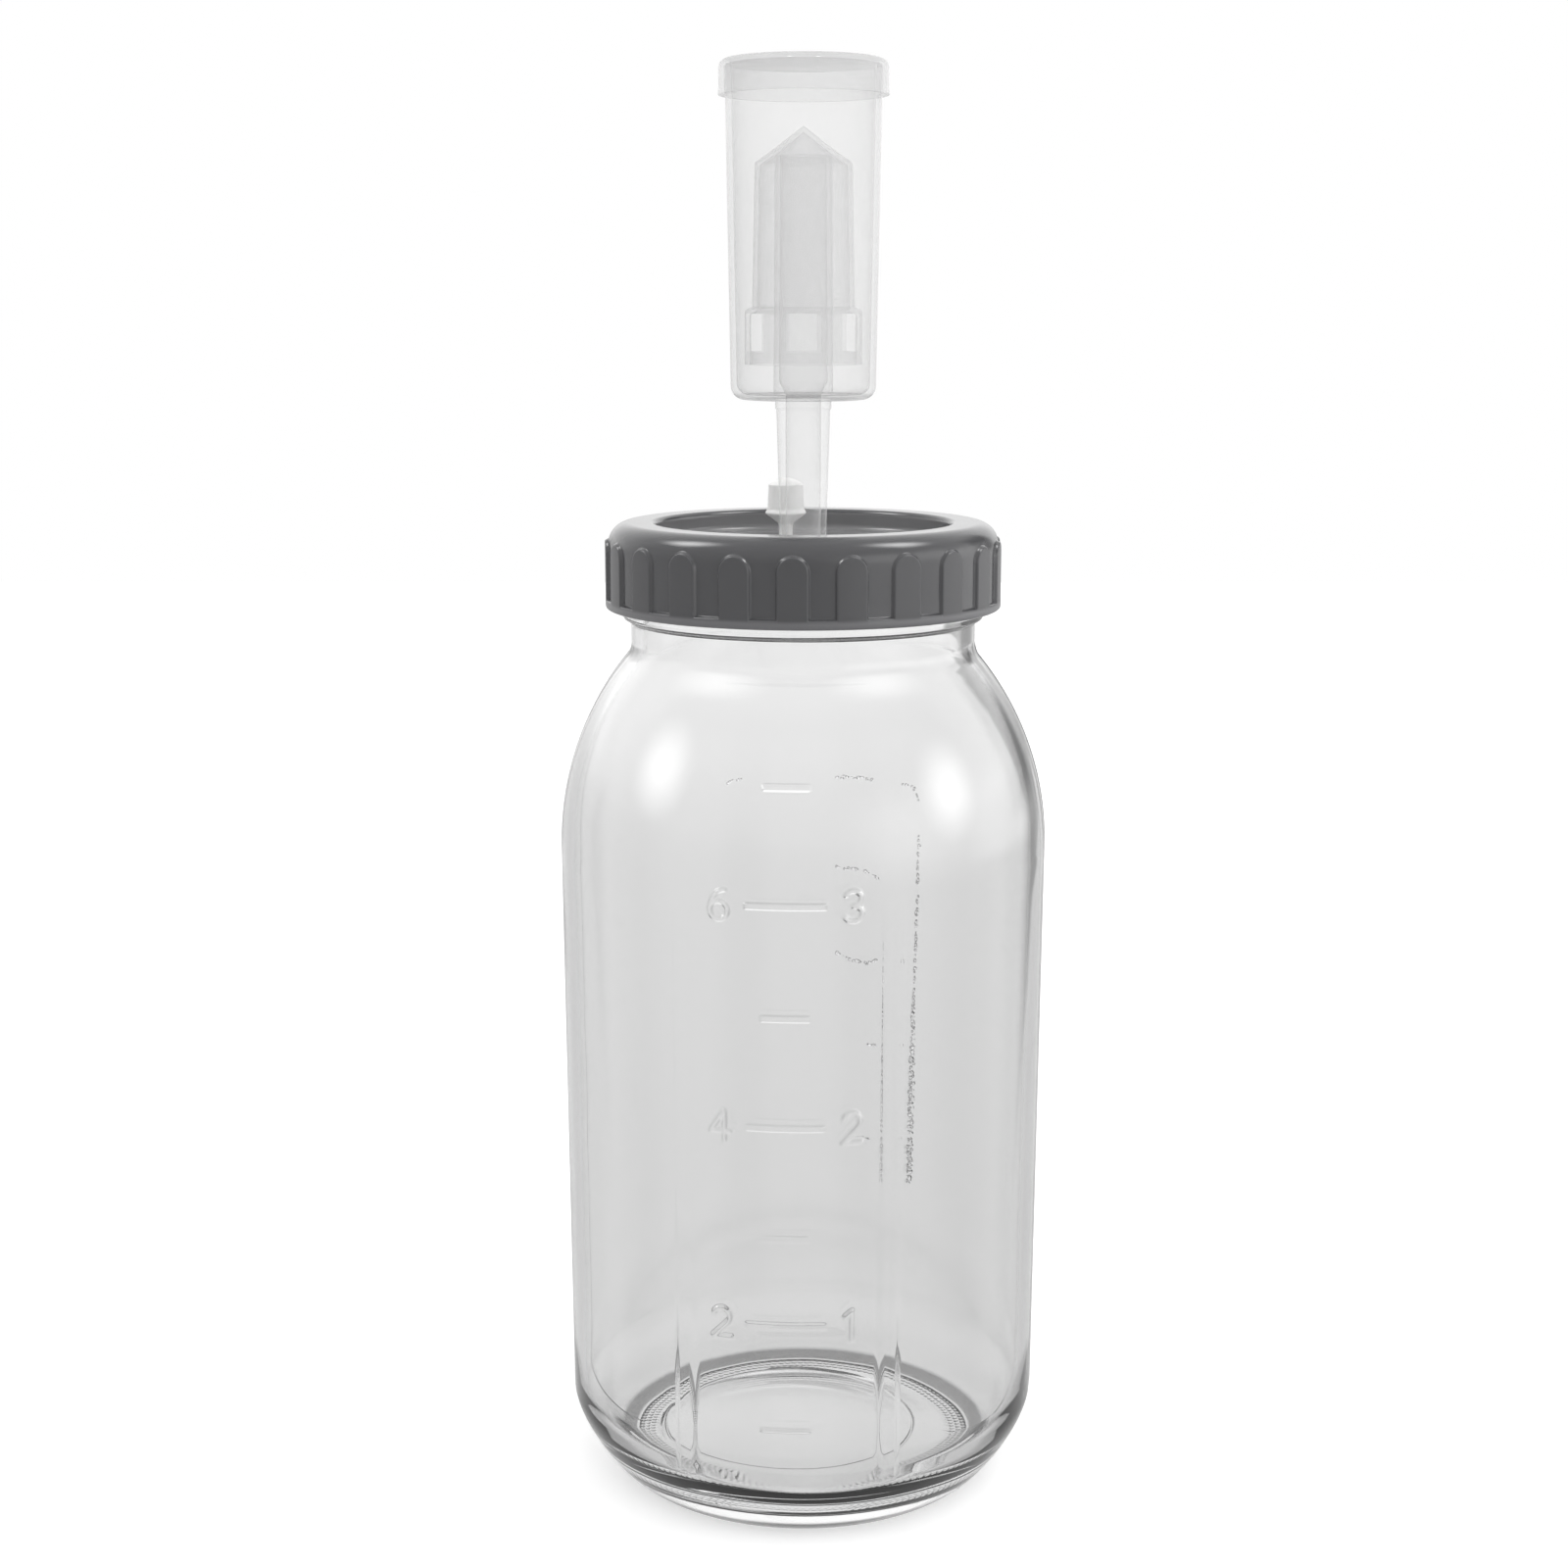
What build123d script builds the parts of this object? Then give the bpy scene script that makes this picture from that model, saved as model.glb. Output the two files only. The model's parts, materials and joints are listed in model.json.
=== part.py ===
from build123d import *
import os
from math import cos, radians, sqrt, tan

os.makedirs("parts", exist_ok=True)

# A wide-mouth glass jar for fermenting, closed by a ribbed screw lid with a recessed well.
# The well carries a three-piece airlock in a grommet and a small vent plug behind it.
# The jar stands on its bearing ring at z = 0, with its axis on Z. The front faces -Y.

# Clearances
slide_clearance = 0.06
fit_clearance = 0.05
lift_clearance = 0.3
cap_clearance = 0.15

# Jar: body, shoulder and neck
jar_height = 231.8
body_radius = 58.4
heel_radius = 57.33
foot_radius = 43.4
foot_width = 5.4
heel_height = 20.2
shoulder_radius = 71.0
neck_blend = 5.5
neck_height = 24.83
wall = 3.15

# Jar: finish, the part of the glass that the lid closes
mouth_radius = 38.0
finish_wall = 3.0
lip_round = 1.0
bead_rise = 1.9
bead_width = 3.6
bead_flank = 0.8
bead_round = 0.6
bead_drop = 17.9

# Jar: base
push_up = 3.0
base_thickness = 5.3
floor_edge_radius = 36.0
floor_edge_height = 6.9
inner_heel_height = 24.0

# Lid
gasket_thickness = 1.5
plate_thickness = 2.1
shoulder_round = 5.0
skirt_depth = 18.1
skirt_wall = 2.8
skirt_round = 0.7
thread_room = 2.4
mouth_clearance = 1.0
well_wall = 2.0
well_depth = 5.1
well_lip_round = 1.3
well_floor_round = 1.5
floor_thickness = 2.0

# Lid: grip ribs round the skirt
rib_count = 22
rib_width = 7.1
rib_rise = 0.8
rib_root = 0.5
rib_setback = 4.0
rib_edge_round = 0.3
band_height = 2.2
first_rib_angle = -3.3

# Airlock: body, moulded in one piece as a cup, an inner tube and a stem
stem_reach = 16.3
stem_rise = 33.6
stem_tip_radius = 5.0
stem_seat_radius = 5.4
stem_top_radius = 6.33
stem_bore_radius = 4.15
collar_radius = 6.6
collar_height = 2.2
cup_height = 75.9
cup_base_radius = 17.0
cup_rim_radius = 18.2
cup_wall = 1.4
cup_floor = 1.15
cup_round = 3.2
cup_inner_round = 2.6
rim_round = 0.4
tube_height = 54.5
tube_base_radius = 7.0
tube_rim_radius = 6.66
tube_wall = 1.3
bore_step = 3.0

# Airlock: float, an inverted cup with a vented skirt
cone_angle = 36.8
cone_radius = 7.9
shoulder_angle = 33.7
float_shoulder_radius = 11.4
float_waist_radius = 12.0
float_length = 54.2
float_wall = 1.1
float_side_round = 1.0
float_skirt_radius = 13.76
float_skirt_height = 12.6
float_skirt_wall = 1.2
float_skirt_round = 1.2
float_flare = 0.7
window_count = 6
window_width = 7.5
window_height = 8.7
window_sill = 3.0
window_angle = 1.5

# Airlock: cap
cap_wall = 1.3
cap_lip = 0.12
cap_lip_height = 0.9
cap_plate = 1.3
cap_height = 8.1
cap_round = 2.0
vent_hole_count = 6
vent_hole_radius = 0.6
vent_circle_radius = 6.5

# Grommet round the stem
grommet_wall = 1.75
grommet_flange = 1.6
grommet_top_lip = 0.9
grommet_bottom_lip = 1.2
grommet_round = 0.3

# Vent plug in the second hole of the well, behind the stem
plug_x = -4.1
plug_y = 18.5
plug_pin_radius = 1.5
plug_neck_radius = 1.68
plug_neck_height = 2.9
plug_bowl_height = 2.6
plug_flange_radius = 5.3
plug_flange_thickness = 1.0
plug_head_radius = 4.45
plug_head_taper = 0.25
plug_head_height = 8.6
plug_dome_height = 1.7
plug_edge_round = 0.4
plug_bowl_round = 0.9
plug_pin_reach = 5.4
plug_tip_radius = 0.9
plug_tip_length = 1.6

# Cuts run past the faces that they open by this much
overrun = 1.0

# Shares of a curve's width and height that place its control points
outer_heel_shares = (0.29, 0.71)
inner_heel_shares = (0.5, 0.6)

# Heights and radii that several pieces share
finish_radius = mouth_radius + finish_wall
lid_underside = jar_height + gasket_thickness
lid_top = lid_underside + plate_thickness
lid_bottom = lid_underside - skirt_depth
well_floor = lid_top - well_depth
well_underside = well_floor - floor_thickness
well_outer_radius = mouth_radius - mouth_clearance
well_radius = well_outer_radius - well_wall
skirt_bore = finish_radius + thread_room
skirt_radius = skirt_bore + skirt_wall
rib_radius = skirt_radius + rib_rise

stem_tip = well_floor - stem_reach
cup_bottom = well_floor + stem_rise
cup_inner_floor = cup_bottom + cup_floor
cup_rim = cup_bottom + cup_height
tube_rim = cup_inner_floor + tube_height
grommet_top = well_floor + grommet_top_lip
stem_slope = (stem_top_radius - stem_seat_radius) / (stem_rise - collar_height)
grommet_bore = stem_seat_radius + stem_slope * grommet_top_lip + slide_clearance
grommet_waist = grommet_bore + grommet_wall
grommet_hole = grommet_waist + fit_clearance
plug_hole = plug_pin_radius + slide_clearance


def turned_outline(rows):
    """Closed outline from rows of radius, height and corner round."""
    points = [(radius, height) for radius, height, corner in rows]
    FilletPolyline(*points, radius=[corner for radius, height, corner in rows], close=True)


def neck_blend_rise(arc_radius, neck_radius, blend_radius):
    """How far above the shoulder's start its arc has blended into the neck."""
    across = neck_radius + blend_radius - shoulder_centre_radius
    return sqrt((arc_radius + blend_radius) ** 2 - across**2)


def neck_blend_ends(arc_radius, neck_radius, blend_radius):
    """Ends of the hollow arc that runs from the shoulder's arc into the neck."""
    rise = neck_blend_rise(arc_radius, neck_radius, blend_radius)
    across = neck_radius + blend_radius - shoulder_centre_radius
    arc_share = arc_radius / (arc_radius + blend_radius)
    low = (shoulder_centre_radius + across * arc_share, shoulder_start + rise * arc_share)
    return low, (neck_radius, shoulder_start + rise)


# Jar
shoulder_centre_radius = body_radius - shoulder_radius
shoulder_start = jar_height - neck_height - neck_blend_rise(shoulder_radius, finish_radius, neck_blend)
inner_heel_radius = heel_radius - wall
inner_body_radius = body_radius - wall
bearing_radius = foot_radius - foot_width
inner_crown = push_up + base_thickness
blend_low, blend_high = neck_blend_ends(shoulder_radius, finish_radius, neck_blend)
inner_low, inner_high = neck_blend_ends(shoulder_radius - wall, mouth_radius, neck_blend + wall)
bead_radius = finish_radius + bead_rise
bead_bottom = jar_height - bead_drop - bead_width / 2
bead_top = bead_bottom + bead_width
heel_width = heel_radius - foot_radius
inner_heel_width = inner_heel_radius - floor_edge_radius
inner_heel_rise = inner_heel_height - floor_edge_height

with BuildPart() as jar:
    with BuildSketch(Plane.XZ):
        with BuildLine():
            # Outside, from the bearing ring up to the neck
            Line((bearing_radius, 0), (foot_radius, 0))
            Bezier(
                (foot_radius, 0),
                (foot_radius + heel_width * outer_heel_shares[0], 0),
                (heel_radius, heel_height * outer_heel_shares[1]),
                (heel_radius, heel_height),
            )
            Line((heel_radius, heel_height), (body_radius, shoulder_start))
            shoulder = TangentArc((body_radius, shoulder_start), blend_low, tangent=(0, 1))
            TangentArc(blend_low, blend_high, tangent=shoulder % 1)
            # Over the bead and the lip, and back down inside the mouth
            FilletPolyline(
                blend_high,
                (finish_radius, bead_bottom),
                (bead_radius, bead_bottom + bead_flank),
                (bead_radius, bead_top - bead_flank),
                (finish_radius, bead_top),
                (finish_radius, jar_height),
                (mouth_radius, jar_height),
                inner_high,
                radius=[bead_round, bead_round, bead_round, bead_round, lip_round, lip_round],
            )
            # Inside, down to the floor
            inner_shoulder = TangentArc((inner_body_radius, shoulder_start), inner_low, tangent=(0, 1))
            TangentArc(inner_low, inner_high, tangent=inner_shoulder % 1)
            Line((inner_body_radius, shoulder_start), (inner_heel_radius, inner_heel_height))
            floor_arc = TangentArc((0, inner_crown), (floor_edge_radius, floor_edge_height), tangent=(1, 0))
            floor_slope = floor_arc % 1
            Bezier(
                (floor_edge_radius, floor_edge_height),
                (
                    floor_edge_radius + inner_heel_width * inner_heel_shares[0],
                    floor_edge_height
                    + inner_heel_width * inner_heel_shares[0] * floor_slope.Y / floor_slope.X,
                ),
                (inner_heel_radius, inner_heel_height - inner_heel_rise * inner_heel_shares[1]),
                (inner_heel_radius, inner_heel_height),
            )
            # Underside, hollowed so that only the ring bears
            Line((0, push_up), (0, inner_crown))
            TangentArc((0, push_up), (bearing_radius, 0), tangent=(1, 0))
        make_face()
    revolve(axis=Axis.Z)
jar.part.label = "jar"
export_step(jar.part, "parts/jar.step")

# Gasket, a flat ring on the lip, in the groove between the lid's well and its skirt
with BuildPart() as lid_gasket:
    with BuildSketch(Plane.XY.offset(jar_height)):
        Circle(skirt_bore - lift_clearance)
        Circle(well_outer_radius + lift_clearance, mode=Mode.SUBTRACT)
    extrude(amount=gasket_thickness)
lid_gasket.part.label = "lid_gasket"
export_step(lid_gasket.part, "parts/lid_gasket.step")

# One grip rib: a flat bar with a round top, bent to the skirt's curve
band_top = lid_bottom + band_height
rib_top = lid_top - rib_setback
rib_end_radius = rib_width / 2

with BuildPart() as grip_rib:
    with BuildSketch(Plane.XZ):
        with Locations((0, rib_top - rib_end_radius)):
            Circle(rib_end_radius)
            Rectangle(
                rib_width,
                rib_top - rib_end_radius - band_top + rib_root,
                align=(Align.CENTER, Align.MAX),
            )
    extrude(amount=rib_radius + overrun)
    with BuildSketch(Plane.XY.offset(lid_bottom)):
        Circle(rib_radius)
        Circle(skirt_radius - rib_root, mode=Mode.SUBTRACT)
    extrude(amount=lid_top - lid_bottom, mode=Mode.INTERSECT)
    outer_face = grip_rib.faces().filter_by(GeomType.CYLINDER).sort_by(Axis.Y)[0]
    fillet(outer_face.edges().sort_by(Axis.Z)[1:], rib_edge_round)

# Lid, one moulding: skirt, top ring and the well that hangs inside the jar's mouth
with BuildPart() as lid:
    with BuildSketch(Plane.XZ):
        with BuildLine():
            turned_outline(
                [
                    (skirt_bore, lid_bottom, 0),
                    (rib_radius, lid_bottom, skirt_round),
                    (rib_radius, band_top, 0),
                    (skirt_radius, band_top, 0),
                    (skirt_radius, lid_top, shoulder_round),
                    (well_radius, lid_top, well_lip_round),
                    (well_radius, well_floor, well_floor_round),
                    (grommet_hole, well_floor, 0),
                    (grommet_hole, well_underside, 0),
                    (well_outer_radius, well_underside, well_floor_round),
                    (well_outer_radius, lid_underside, 0),
                    (skirt_bore, lid_underside, 0),
                ]
            )
        make_face()
    revolve(axis=Axis.Z)
    with PolarLocations(0, rib_count, start_angle=first_rib_angle):
        add(grip_rib.part)
    with BuildSketch(Plane.XY.offset(well_floor + overrun)):
        with Locations((plug_x, plug_y)):
            Circle(plug_hole)
    extrude(amount=-(floor_thickness + 2 * overrun), mode=Mode.SUBTRACT)
lid.part.label = "lid"
export_step(lid.part, "parts/lid.step")

# Grommet, a grooved ring that grips the edge of the lid's centre hole
grommet_flange_radius = grommet_waist + grommet_flange

with BuildPart() as airlock_grommet:
    with BuildSketch(Plane.XZ):
        with BuildLine():
            turned_outline(
                [
                    (grommet_bore, grommet_top, 0),
                    (grommet_flange_radius, grommet_top, grommet_round),
                    (grommet_flange_radius, well_floor, 0),
                    (grommet_waist, well_floor, 0),
                    (grommet_waist, well_underside, 0),
                    (grommet_flange_radius, well_underside, 0),
                    (grommet_flange_radius, well_underside - grommet_bottom_lip, grommet_round),
                    (grommet_bore, well_underside - grommet_bottom_lip, 0),
                ]
            )
        make_face()
    revolve(axis=Axis.Z)
airlock_grommet.part.label = "airlock_grommet"
export_step(airlock_grommet.part, "parts/airlock_grommet.step")

# Airlock body: the gas rises through the stem and the inner tube, and the cup holds water
with BuildPart() as airlock_body:
    with BuildSketch(Plane.XZ):
        with BuildLine():
            turned_outline(
                [
                    (stem_bore_radius, stem_tip, 0),
                    (stem_tip_radius, stem_tip, 0),
                    (stem_seat_radius, well_floor, 0),
                    (stem_top_radius, cup_bottom - collar_height, 0),
                    (collar_radius, cup_bottom - collar_height, 0),
                    (collar_radius, cup_bottom, 0),
                    (cup_base_radius, cup_bottom, cup_round),
                    (cup_rim_radius, cup_rim, rim_round),
                    (cup_rim_radius - cup_wall, cup_rim, rim_round),
                    (cup_base_radius - cup_wall, cup_inner_floor, cup_inner_round),
                    (tube_base_radius, cup_inner_floor, 0),
                    (tube_rim_radius, tube_rim, 0),
                    (tube_rim_radius - tube_wall, tube_rim, 0),
                    (tube_base_radius - tube_wall, cup_inner_floor + bore_step, 0),
                    (stem_bore_radius, cup_inner_floor, 0),
                ]
            )
        make_face()
    revolve(axis=Axis.Z)
airlock_body.part.label = "airlock_body"
export_step(airlock_body.part, "parts/airlock_body.step")

# Float, which sits dry over the tube: its cone rests just clear of the tube's rim
cone_fall = tan(radians(cone_angle))
shoulder_fall = tan(radians(shoulder_angle))
inner_apex = tube_rim + lift_clearance + tube_rim_radius * cone_fall
float_apex = inner_apex + float_wall / cos(radians(cone_angle))
cone_foot = float_apex - cone_radius * cone_fall
float_shoulder = cone_foot - (float_shoulder_radius - cone_radius) * shoulder_fall
float_bottom = float_apex - float_length
skirt_top = float_bottom + float_skirt_height
inner_cone_radius = cone_radius - float_wall * cone_fall / 2
inner_cone_foot = inner_apex - inner_cone_radius * cone_fall
inner_shoulder_radius = float_shoulder_radius - float_wall
inner_shoulder_foot = inner_cone_foot - (inner_shoulder_radius - inner_cone_radius) * shoulder_fall
skirt_inner_radius = float_skirt_radius - float_skirt_wall

with BuildPart() as float_window:
    with BuildSketch(Plane.XZ):
        with Locations((0, float_bottom + window_sill)):
            Rectangle(window_width, window_height, align=(Align.CENTER, Align.MIN))
    extrude(amount=float_skirt_radius + overrun)

with BuildPart() as airlock_float:
    with BuildSketch(Plane.XZ):
        with BuildLine():
            turned_outline(
                [
                    (0, inner_apex, 0),
                    (0, float_apex, 0),
                    (cone_radius, cone_foot, 0),
                    (float_shoulder_radius, float_shoulder, float_side_round),
                    (float_waist_radius, skirt_top + float_flare, 0),
                    (float_skirt_radius, skirt_top, float_skirt_round),
                    (float_skirt_radius, float_bottom, 0),
                    (skirt_inner_radius, float_bottom, 0),
                    (skirt_inner_radius, skirt_top - float_skirt_wall, 0),
                    (float_waist_radius - float_wall, skirt_top, 0),
                    (inner_shoulder_radius, inner_shoulder_foot, 0),
                    (inner_cone_radius, inner_cone_foot, 0),
                ]
            )
        make_face()
    revolve(axis=Axis.Z)
    # Windows in the skirt let the gas out
    with PolarLocations(0, window_count, start_angle=window_angle):
        add(float_window.part, mode=Mode.SUBTRACT)
airlock_float.part.label = "airlock_float"
export_step(airlock_float.part, "parts/airlock_float.step")

# Cap, pushed over the cup's rim; gas leaves through its pin holes
cap_bore = cup_rim_radius + cap_clearance
cap_radius = cap_bore + cap_wall
cap_top = cup_rim + cap_plate
cap_bottom = cap_top - cap_height

with BuildPart() as airlock_cap:
    with BuildSketch(Plane.XZ):
        with BuildLine():
            turned_outline(
                [
                    (0, cup_rim, 0),
                    (cap_bore, cup_rim, rim_round),
                    (cap_bore, cap_bottom, 0),
                    (cap_radius + cap_lip, cap_bottom, 0),
                    (cap_radius + cap_lip, cap_bottom + cap_lip_height, 0),
                    (cap_radius, cap_bottom + cap_lip_height + cap_lip, 0),
                    (cap_radius, cap_top, cap_round),
                    (0, cap_top, 0),
                ]
            )
        make_face()
    revolve(axis=Axis.Z)
    with BuildSketch(Plane.XY.offset(cap_top + overrun)):
        with PolarLocations(vent_circle_radius, vent_hole_count):
            Circle(vent_hole_radius)
    extrude(amount=-(cap_plate + 2 * overrun), mode=Mode.SUBTRACT)
airlock_cap.part.label = "airlock_cap"
export_step(airlock_cap.part, "parts/airlock_cap.step")

# Vent plug: a soft knob on a thin neck, whose pin closes the second hole
neck_top = well_floor + plug_neck_height
flange_height = neck_top + plug_bowl_height
head_top = flange_height + plug_head_height
dome_foot = head_top - plug_dome_height
pin_tip = well_floor - plug_pin_reach
plug_plane = Plane(origin=(plug_x, plug_y, 0), x_dir=(1, 0, 0), z_dir=(0, -1, 0))

with BuildPart() as vent_plug:
    with BuildSketch(plug_plane):
        with BuildLine():
            FilletPolyline(
                (0, head_top),
                (0, pin_tip),
                (plug_tip_radius, pin_tip),
                (plug_pin_radius, pin_tip + plug_tip_length),
                (plug_pin_radius, well_floor),
                (plug_neck_radius, well_floor),
                (plug_neck_radius, neck_top),
                (plug_flange_radius, flange_height),
                (plug_head_radius, flange_height + plug_flange_thickness),
                (plug_head_radius - plug_head_taper, dome_foot),
                radius=[0, 0, 0, 0, 0, plug_bowl_round, plug_edge_round, plug_bowl_round],
            )
            TangentArc((0, head_top), (plug_head_radius - plug_head_taper, dome_foot), tangent=(1, 0))
        make_face()
    revolve(axis=Axis((plug_x, plug_y, 0), (0, 0, 1)))
vent_plug.part.label = "vent_plug"
export_step(vent_plug.part, "parts/vent_plug.step")
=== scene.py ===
import json
from math import asin, atan2, ceil, cos, degrees, hypot, pi, radians, sin, sqrt, tan

import bpy
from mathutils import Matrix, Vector, noise


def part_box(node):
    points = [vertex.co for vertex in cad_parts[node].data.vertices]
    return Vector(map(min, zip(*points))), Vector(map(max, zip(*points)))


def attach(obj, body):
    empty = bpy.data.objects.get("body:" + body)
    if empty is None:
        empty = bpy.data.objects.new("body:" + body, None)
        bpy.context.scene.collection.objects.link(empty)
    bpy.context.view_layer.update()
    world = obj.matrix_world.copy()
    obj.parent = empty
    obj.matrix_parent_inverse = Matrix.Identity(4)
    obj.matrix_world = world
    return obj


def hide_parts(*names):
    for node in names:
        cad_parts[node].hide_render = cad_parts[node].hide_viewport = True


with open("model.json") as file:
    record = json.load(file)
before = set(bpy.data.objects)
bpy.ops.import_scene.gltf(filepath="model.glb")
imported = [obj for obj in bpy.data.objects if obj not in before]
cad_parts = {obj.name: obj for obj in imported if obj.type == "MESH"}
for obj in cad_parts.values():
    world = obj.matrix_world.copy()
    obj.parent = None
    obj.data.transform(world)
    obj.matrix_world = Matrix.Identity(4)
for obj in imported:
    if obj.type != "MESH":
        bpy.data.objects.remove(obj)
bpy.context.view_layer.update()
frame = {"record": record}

# A wide-mouth glass jar for fermenting, with a grey screw lid, a three-piece airlock and a vent plug.
# Sizes are in millimetres and angles in degrees, and MM turns a size into metres.
MM = 0.001


def corners(node):
    """Lowest and highest corner of a node of the frame, in millimetres."""
    return [[value / MM for value in corner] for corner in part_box(node)]


# Sizes read from the frame
jar_high = corners("jar")[1]
lid_low, lid_high = corners("lid")
gasket_low, gasket_high = corners("lid_gasket")
grommet_low, grommet_high = corners("airlock_grommet")
body_low, body_high = corners("airlock_body")
float_low, float_high = corners("airlock_float")
cap_low, cap_high = corners("airlock_cap")
plug_low, plug_high = corners("vent_plug")

# Jar
jar_height = jar_high[2]
body_radius = jar_high[0]
heel_draft = 1.07
heel_radius = body_radius - heel_draft
foot_radius = 43.4
foot_width = 5.4
heel_height = 20.2
shoulder_radius = 71.0
neck_blend = 5.5
neck_height = 24.83
wall = 3.15
mouth_radius = 38.0
finish_radius = 41.0
lip_round = 1.0
bead_rise = 1.9
bead_width = 3.6
bead_flank = 0.8
bead_round = 0.6
bead_drop = 17.9
push_up = 3.0
inner_crown = 8.3
floor_edge_radius = 36.0
floor_edge_height = 6.9
inner_heel_height = 24.0
outer_heel_shares = (0.29, 0.71)
inner_heel_shares = (0.5, 0.6)
thread_pitch = 5.08

# Lid
lid_top = lid_high[2]
lid_bottom = lid_low[2]
rib_radius = lid_high[0]
lid_underside = gasket_high[2]
rib_rise = 0.8
skirt_wall = 2.8
skirt_radius = rib_radius - rib_rise
skirt_bore = skirt_radius - skirt_wall
shoulder_round = 5.0
skirt_round = 0.7
rib_count = 22
rib_half_width = 3.55
rib_drop = 4.0
rib_top = lid_top - rib_drop
band_height = 2.2
band_top = lid_bottom + band_height
first_rib_angle = -93.3
well_radius = 35.0
well_outer_radius = 37.0
well_depth = 5.1
well_lip_round = 1.3
well_floor_round = 1.5
floor_thickness = 2.0
well_floor = lid_top - well_depth
well_underside = well_floor - floor_thickness

# Outlines that are turned round the axis
ARC_STEP = 12.0
LOOP_GAP = 0.12
WIDEST_GAP = 0.2
ON_AXIS = 1e-6
COLUMNS = 96
CUP_COLUMNS = 128
FLOAT_COLUMNS = 120
PLUG_COLUMNS = 64
HOLE_COLUMNS = 32
VENT_COLUMNS = 24
CREASE = 32
GLASS_CREASE = 60


def even_shares(steps):
    """Even places along a stretch, from its start to just before its end."""
    return [step / steps for step in range(steps)]


def line(start, end):
    """A straight stretch; loops near its ends keep it flat beside a round."""
    length = hypot(end[0] - start[0], end[1] - start[1])
    gap = LOOP_GAP / max(length, LOOP_GAP)
    loops = [0, gap, 1 - gap] if gap < WIDEST_GAP else [0]
    return lambda t: (start[0] + (end[0] - start[0]) * t, start[1] + (end[1] - start[1]) * t), loops


def arc(centre, radius, start, end, steps=None):
    """A round stretch between two angles."""
    steps = steps or max(2, ceil(abs(end - start) / ARC_STEP))

    def point(t):
        angle = radians(start + (end - start) * t)
        return centre[0] + radius * cos(angle), centre[1] + radius * sin(angle)

    return point, even_shares(steps)


def bezier(points, steps):
    """A cubic curve through four control points."""

    def point(t):
        shares = ((1 - t) ** 3, 3 * (1 - t) ** 2 * t, 3 * (1 - t) * t**2, t**3)
        return tuple(sum(share * control[axis] for share, control in zip(shares, points)) for axis in (0, 1))

    return point, even_shares(steps)


def rounded(rows, closed=True):
    """Lines and rounds through rows of radius, height and corner round."""
    ends = []
    for index, (across, height, corner) in enumerate(rows):
        at = Vector((across, height))
        if not corner:
            ends.append((at, at, None))
            continue
        before = (Vector(rows[index - 1][:2]) - at).normalized()
        after = (Vector(rows[(index + 1) % len(rows)][:2]) - at).normalized()
        half = before.angle(after) / 2
        centre = at + (before + after).normalized() * corner / sin(half)
        ends.append((at + before * corner / tan(half), at + after * corner / tan(half), centre))
    stretches = []
    for (start, end, centre), (following, _, _) in zip(ends, ends[1:] + ends[:closed]):
        if centre:
            first = degrees(atan2(start.y - centre.y, start.x - centre.x))
            last = degrees(atan2(end.y - centre.y, end.x - centre.x))
            turn = (last - first + 180) % 360 - 180
            stretches.append(arc(centre, (start - centre).length, first, first + turn))
        stretches.append(line(end, following))
    return stretches


def outline_points(stretches, closed=True):
    """The points of an outline, in order."""
    points = [point(t) for point, places in stretches for t in places]
    return points if closed else points + [stretches[-1][0](1)]


def turned(points, columns, centre=(0, 0), closed=True):
    """Vertices and faces of an outline turned round an upright axis, with a pole at each end on it."""
    vertices, faces, rings = [], [], []
    for radius, height in points:
        count = columns if radius > ON_AXIS else 1
        rings.append([len(vertices) + step for step in range(count)])
        for step in range(count):
            angle = 2 * pi * step / count
            vertices.append((centre[0] + radius * cos(angle), centre[1] + radius * sin(angle), height))
    for low, high in zip(rings, rings[1:] + rings[:closed]):
        for step in range(columns):
            around = (low[step % len(low)], low[(step + 1) % len(low)])
            around += (high[(step + 1) % len(high)], high[step % len(high)])
            faces.append(tuple(dict.fromkeys(around)))
    return vertices, faces


def make_piece(name, vertices, faces, material, crease=CREASE):
    """A mesh object at the origin, with its place in its mesh."""
    mesh = bpy.data.meshes.new(name)
    mesh.from_pydata([[value * MM for value in vertex] for vertex in vertices], [], faces)
    if material:
        mesh.materials.append(material)
    mesh.shade_smooth()
    mesh.set_sharp_from_angle(angle=radians(crease))
    piece = bpy.data.objects.new(name, mesh)
    bpy.context.scene.collection.objects.link(piece)
    return piece


def drilled(piece, vertices, faces):
    """The piece with the closed shape cut out of it."""
    cutter = make_piece("cutter", vertices, faces, None)
    cut = piece.modifiers.new("cut", "BOOLEAN")
    cut.operation = "DIFFERENCE"
    cut.solver = "EXACT"
    cut.object = cutter
    seen = piece.evaluated_get(bpy.context.evaluated_depsgraph_get())
    mesh = bpy.data.meshes.new_from_object(seen)
    piece.modifiers.clear()
    piece.data = mesh
    mesh.set_sharp_from_angle(angle=radians(CREASE))
    bpy.data.objects.remove(cutter)
    return piece


node_bodies = {node: body for body, nodes in frame["record"]["behaviour"]["bodies"].items() for node in nodes}


def stand_for(piece, node):
    """Shows the piece in place of its node, on the node's body."""
    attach(piece, node_bodies[node])
    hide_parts(node)


# Materials


def linear(code):
    """An sRGB hex colour as linear red, green, blue and alpha."""
    shares = [int(code[place : place + 2], 16) / 255 for place in (1, 3, 5)]
    return (*[share / 12.92 if share <= 0.04045 else ((share + 0.055) / 1.055) ** 2.4 for share in shares], 1)


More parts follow.
